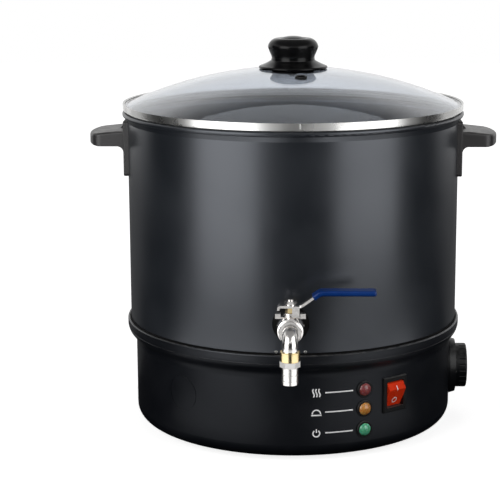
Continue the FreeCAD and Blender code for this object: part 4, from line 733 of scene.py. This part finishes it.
rocker_low, rocker_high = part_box("switch_rocker")
rocker_centre = (rocker_low + rocker_high) / 2
rocker_half = (rocker_high.z - rocker_low.z) / 2
outward = Vector((rocker_centre.x, rocker_centre.y, 0)).normalized()
sideways = Vector((-outward.y, outward.x, 0))
before_rocker = 0.05       # where lines towards the rocker start
mark_width = 0.0008
circle_radius = 0.0027
circle_steps = 28


def on_rocker(across, up):
    """Place on the rocker's face. Across and up are measured from its middle."""
    start = rocker_centre + outward * before_rocker + sideways * across + Vector((0, 0, up))
    return film_place("switch_rocker", start, -outward)


circle = curve_points(0, -0.5 * rocker_half, circle_radius, 0, 360, circle_steps)[:-1]
bar = straight((0, 0.33 * rocker_half), (0, 0.68 * rocker_half))
print_on("switch_off_mark", [stroke(circle, mark_width, closed=True)], on_rocker, "rocker")
print_on("switch_on_mark", [stroke(bar, mark_width)], on_rocker, "rocker")

contact_brass = metal("contact_brass", (0.80, 0.62, 0.30, 1), (0.66, 0.48, 0.22, 1), low=0.22,
                      high=0.36)
dress(contact_brass, "switch_terminals", "inlet_pins")


# --- Signal lamps -----------------------------------------------------------------------------
# Three small domes of tinted polycarbonate snap into black holders, one above the other. Their
# insides are faceted, so that they look mottled when unlit. A white sign stands beside each.

lens_colours = {"lamp_lens_red": ((0.17, 0.036, 0.038, 1), (0.27, 0.070, 0.072, 1)),
                "lamp_lens_amber": ((0.40, 0.14, 0.022, 1), (0.62, 0.31, 0.085, 1)),
                "lamp_lens_green": ((0.046, 0.29, 0.15, 1), (0.12, 0.47, 0.28, 1))}
facet_scale = 420.0
facet_depth = 0.00012

for lens_name, (deep, bright) in lens_colours.items():
    material, tree, shader = new_surface(lens_name, coat=0.3)
    shader.inputs["Subsurface Weight"].default_value = 0.3
    shader.inputs["Subsurface Scale"].default_value = 0.003
    shader.inputs["Coat Roughness"].default_value = 0.08
    facets = add_node(tree, "TexVoronoi", {"Vector": object_place(tree), "Scale": facet_scale},
                      feature="SMOOTH_F1").outputs["Distance"]
    facet_mask = spread(tree, facets, 0.1, 0.8)
    finish(tree, shader, mixed(tree, facet_mask, bright, deep),
           spread(tree, facet_mask, 0.0, 1.0, 0.16, 0.30))
    emboss(tree, shader, calculate(tree, "MULTIPLY", facets, facet_depth))
    dress(material, lens_name)

beyond_wall = 0.4          # from the axis, where lines towards a round wall start
sign_height = 0.0085
sign_half = sign_height / 2
sign_bearing = math.radians(8.6)
leader_start = math.radians(11.6)
leader_end = math.radians(21.4)
line_width = 0.0013

lamp_heights = {}
for lens_name in lens_colours:
    lens_low, lens_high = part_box(lens_name)
    lamp_heights[lens_name] = (lens_low.z + lens_high.z) / 2
wall_radius = -touch("base_shell", (0, -beyond_wall, lamp_heights["lamp_lens_amber"]),
                     (0, 1, 0))[0].y
sign_centre = wall_radius * sign_bearing


def on_wall(name, bearing, height, thickness=ink_thickness):
    """Place on a round wall. The bearing is in radians from the front."""
    away = Vector((math.sin(bearing), -math.cos(bearing), 0))
    return film_place(name, away * beyond_wall + Vector((0, 0, height)), -away, thickness)


def on_base(across, height):
    """Place on the base's wall. Across is measured round the wall from the front."""
    return on_wall("base_shell", across / wall_radius, height)


def heat_waves(height):
    """Three rising waves."""
    spacing, sway, steps = 0.0030, 0.0007, 16
    waves = []
    for offset in (-spacing, 0.0, spacing):
        line = [(sign_centre + offset + sway * math.sin(2 * math.pi * i / steps),
                 height - sign_half + sign_height * i / steps) for i in range(steps + 1)]
        waves.append(stroke(line, line_width))
    return waves


def warm_dome(height):
    """Dome over a line."""
    dome_radius, dome_lift, foot_reach = 0.0042, 0.0012, 0.0052
    foot = height - sign_half * 0.7
    dome = curve_points(sign_centre, foot + dome_lift, dome_radius, 0, 180, 20)
    line = straight((sign_centre - foot_reach, foot), (sign_centre + foot_reach, foot))
    return [stroke(dome, line_width), stroke(line, line_width)]


def ready_ring(height):
    """Broken ring with an upright bar in its gap."""
    ring_radius, ring_drop, bar_lift = 0.0034, 0.0003, 0.0004
    gap_left, gap_right = 125, 360 + 55
    ring = curve_points(sign_centre, height - ring_drop, ring_radius, gap_left, gap_right, 26)
    bar = straight((sign_centre, height + sign_half), (sign_centre, height + bar_lift), 4)
    return [stroke(ring, line_width), stroke(bar, line_width)]


signs = {"lamp_lens_red": ("heating_sign", heat_waves),
         "lamp_lens_amber": ("keep_warm_sign", warm_dome),
         "lamp_lens_green": ("standby_sign", ready_ring)}
for lens_name, (sign_name, draw) in signs.items():
    height = lamp_heights[lens_name]
    leader = stroke(straight((wall_radius * leader_start, height),
                             (wall_radius * leader_end, height), 16), line_width)
    print_on(sign_name, draw(height) + [leader], on_base, "melter")


# --- Mains side -------------------------------------------------------------------------------
# A three-pin inlet is screwed to a flat pad at the back. Inside, leads in woven glass sleeving
# run to a white terminal block and on to the switch, the lamps and the heater.

white_moulding = moulded_plastic("white_moulding", (0.74, 0.72, 0.67, 1), (0.66, 0.64, 0.58, 1),
                                 low=0.40, high=0.55, scale=900.0)
dress(white_moulding, "terminal_block")

weave_depth = 0.0002
wire_sleeve, tree, shader = new_surface("wire_sleeve", specular=0.3)
weave = add_node(tree, "TexWave", {"Vector": object_place(tree), "Scale": 260.0,
                                   "Distortion": 2.0, "Detail": 2.0},
                 bands_direction="DIAGONAL").outputs["Fac"]
finish(tree, shader, mixed(tree, weave, (0.50, 0.16, 0.05, 1), (0.70, 0.30, 0.12, 1)),
       spread(tree, weave, 0.0, 1.0, 0.55, 0.75))
emboss(tree, shader, calculate(tree, "MULTIPLY", weave, weave_depth))
dress(wire_sleeve, "wiring")


# --- Handles ----------------------------------------------------------------------------------
# Two hollow grips moulded in heat-proof black plastic, each with a broad plate that lies on the
# tank. Two plated screws from inside the tank hold each of them.

handle_plastic = moulded_plastic("handle_plastic", (0.018, 0.017, 0.018, 1),
                                 (0.026, 0.025, 0.026, 1), low=0.36, high=0.48, scale=1400.0,
                                 depth=0.00003, dusty=0.3)
dress(handle_plastic, "handle_left", "handle_right")


# --- Valve ------------------------------------------------------------------------------------
# A ball valve of polished nickel-plated brass. Its threaded nipple passes through the tank's
# wall between rubber washers, and a locknut holds it inside.

valve_height = 0.146       # of the bore's axis, round which the metal is polished
polished_steel = metal("polished_steel", (0.84, 0.82, 0.80, 1), (0.76, 0.74, 0.72, 1), low=0.20,
                       high=0.28, axis=(0, 1, 0), centre=(0, 0, valve_height), lines=1800.0,
                       line_depth=0.00001, wave_scale=110.0, wave_depth=0.0003)
dress(polished_steel, "inlet_nipple", "nipple_locknut", "valve_body", "valve_end_cap",
      "valve_ball", "valve_stem", "tap_lever", "stem_nut")

black_rubber = moulded_plastic("black_rubber", (0.0030, 0.0030, 0.0032, 1),
                               (0.0050, 0.0050, 0.0050, 1), low=0.6, high=0.8, scale=800.0,
                               depth=0.00004, specular=0.15)
dress(black_rubber, "valve_gasket", "inner_washer", "knob_washer", "vent_grommet")

seat_polymer = moulded_plastic("seat_polymer", (0.82, 0.82, 0.80, 1), (0.74, 0.74, 0.71, 1),
                               low=0.45, high=0.6, depth=0.00001)
dress(seat_polymer, "ball_seats")

yellow_brass = metal("yellow_brass", (0.86, 0.70, 0.40, 1), (0.74, 0.57, 0.28, 1), low=0.14,
                     high=0.26, lines=2200.0, line_depth=0.00002)
dress(yellow_brass, "gland_nut", "brass_coupler")

# The spout's pipe and hose tail are turned on their own upright axis.
spout_low, spout_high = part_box("hose_tail")
spout_middle = (spout_low + spout_high) / 2
spout_axis = (spout_middle.x, spout_middle.y, 0)
spout_colours = ((0.86, 0.84, 0.82, 1), (0.79, 0.77, 0.74, 1))
spout_lines = 1600.0
spout_steel = metal("spout_steel", *spout_colours, low=0.20, high=0.27, centre=spout_axis,
                    lines=spout_lines, line_depth=0.00001, wave_scale=120.0, wave_depth=0.00006)
dress(spout_steel, "spout_pipe")

# The tail's hexagon is left satin, as it was drawn, and the rest of the tail is turned bright.
hexagon_height = 0.0058
hexagon_margin = 0.0001    # below the hexagon's lower face
hexagon_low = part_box("brass_coupler")[0].z - hexagon_height
tail_steel, tree, shader = new_surface("tail_steel", metallic=1.0)
tail_up = add_node(tree, "SeparateXYZ", {0: object_place(tree)}).outputs["Z"]
on_hexagon = calculate(tree, "GREATER_THAN", tail_up, hexagon_low - hexagon_margin)
turned_tone = mottled(tree, *spout_colours, metal_tone_scale, low=0.20, high=0.27)
# The hexagon's lighter colour is a painted highlight; its satin finish is in the roughness.
satin_highlight_tone = mottled(tree, (0.92, 0.91, 0.90, 1), (0.84, 0.83, 0.81, 1), scale=300.0, low=0.54,
                     high=0.62)
finish_by_mask(tree, shader, on_hexagon, turned_tone, satin_highlight_tone)
emboss(tree, shader, turned(tree, spout_lines, depth=0.00001, centre=spout_axis))
dress(tail_steel, "hose_tail")


# --- Lever sleeve -----------------------------------------------------------------------------
# The lever's flat blade is dipped in blue vinyl, which dries glossy with soft sags. The bare
# metal shows only near the stem.

blue_vinyl, tree, shader = new_surface("blue_vinyl", specular=0.25)
finish(tree, shader, *mottled(tree, (0.0022, 0.024, 0.130, 1), (0.0032, 0.032, 0.165, 1),
                              scale=70.0, low=0.28, high=0.40))
emboss(tree, shader, grained(tree, scale=160.0, depth=0.0002))
dress(blue_vinyl, "lever_sleeve")


# --- Lid --------------------------------------------------------------------------------------
# A pressed dome of clear glass in a rolled band of polished stainless steel, joined at the front
# by one small weld. A rubber grommet lines the steam hole.

glass_wave_depth = 0.00004
clear_glass, tree, shader = new_surface("clear_glass")
shader.inputs["Transmission Weight"].default_value = 1.0
shader.inputs["IOR"].default_value = 1.5
shader.inputs["Base Color"].default_value = (0.78, 0.82, 0.88, 1)
glass_wave = noise(tree, object_place(tree), scale=14.0, detail=2.0)
tree.links.new(spread(tree, glass_wave, 0.3, 0.7, 0.0, 0.02), shader.inputs["Roughness"])
emboss(tree, shader, calculate(tree, "MULTIPLY", glass_wave, glass_wave_depth))
shadow_ray = add_node(tree, "LightPath").outputs["Is Shadow Ray"]
lets_light_by = add_node(tree, "BsdfTransparent", {"Color": (0.9, 0.92, 0.92, 1)})
glass_or_light = add_node(tree, "MixShader", {0: shadow_ray, 1: shader.outputs[0],
                                              2: lets_light_by.outputs[0]})
tree.links.new(glass_or_light.outputs[0], tree.nodes["Material Output"].inputs["Surface"])
dress(clear_glass, "lid_glass")

band_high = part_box("lid_band")[1]
band_radius = band_high.x
bright_width = 0.0035      # the band's polished outside, and its edge over the glass
band_steel, tree, shader = new_surface("band_steel", metallic=1.0)
polished = calculate(tree, "GREATER_THAN", about_axis(tree)[0], band_radius - bright_width)
bright_tone = mottled(tree, (0.60, 0.60, 0.59, 1), (0.54, 0.54, 0.53, 1), metal_tone_scale,
                      low=0.24, high=0.32)
dull_tone = mottled(tree, (0.26, 0.27, 0.28, 1), (0.22, 0.23, 0.24, 1), metal_tone_scale,
                    low=0.55, high=0.65)
finish_by_mask(tree, shader, polished, dull_tone, bright_tone)
emboss(tree, shader, turned(tree, scale=2600.0, depth=0.000004))
dress(band_steel, "lid_band")

weld_bearing = math.radians(2.9)
weld_width = 0.0012
weld_lift = 0.00018
weld_foot = band_high.z - 0.0055
weld_head = band_high.z - 0.0006
weld_steel = metal("weld_steel", (0.88, 0.88, 0.87, 1), (0.80, 0.80, 0.79, 1), low=0.42, high=0.55)


def on_band(across, height):
    """Place on the band. Across is measured round the band from the weld."""
    return on_wall("lid_band", weld_bearing + across / band_radius, height, weld_lift)


weld = print_on("band_weld", [stroke(straight((0, weld_foot), (0, weld_head), 10), weld_width)],
                on_band, "lid", material=weld_steel)
card("weld_card", 2, 1.50, 0.80, 1.30, 1.2, [weld])


# --- Lid knob ---------------------------------------------------------------------------------
# A turned-looking knob of glossy black phenolic on a flared skirt. A screw from under the glass,
# with a rubber washer, holds both.

knob_plastic = moulded_plastic("knob_plastic", (0.0024, 0.0024, 0.0027, 1),
                               (0.0036, 0.0036, 0.0040, 1), low=0.16, high=0.24, scale=300.0,
                               depth=0.00001, dusty=0.02, specular=0.16)
dress(knob_plastic, "lid_knob", "knob_skirt")
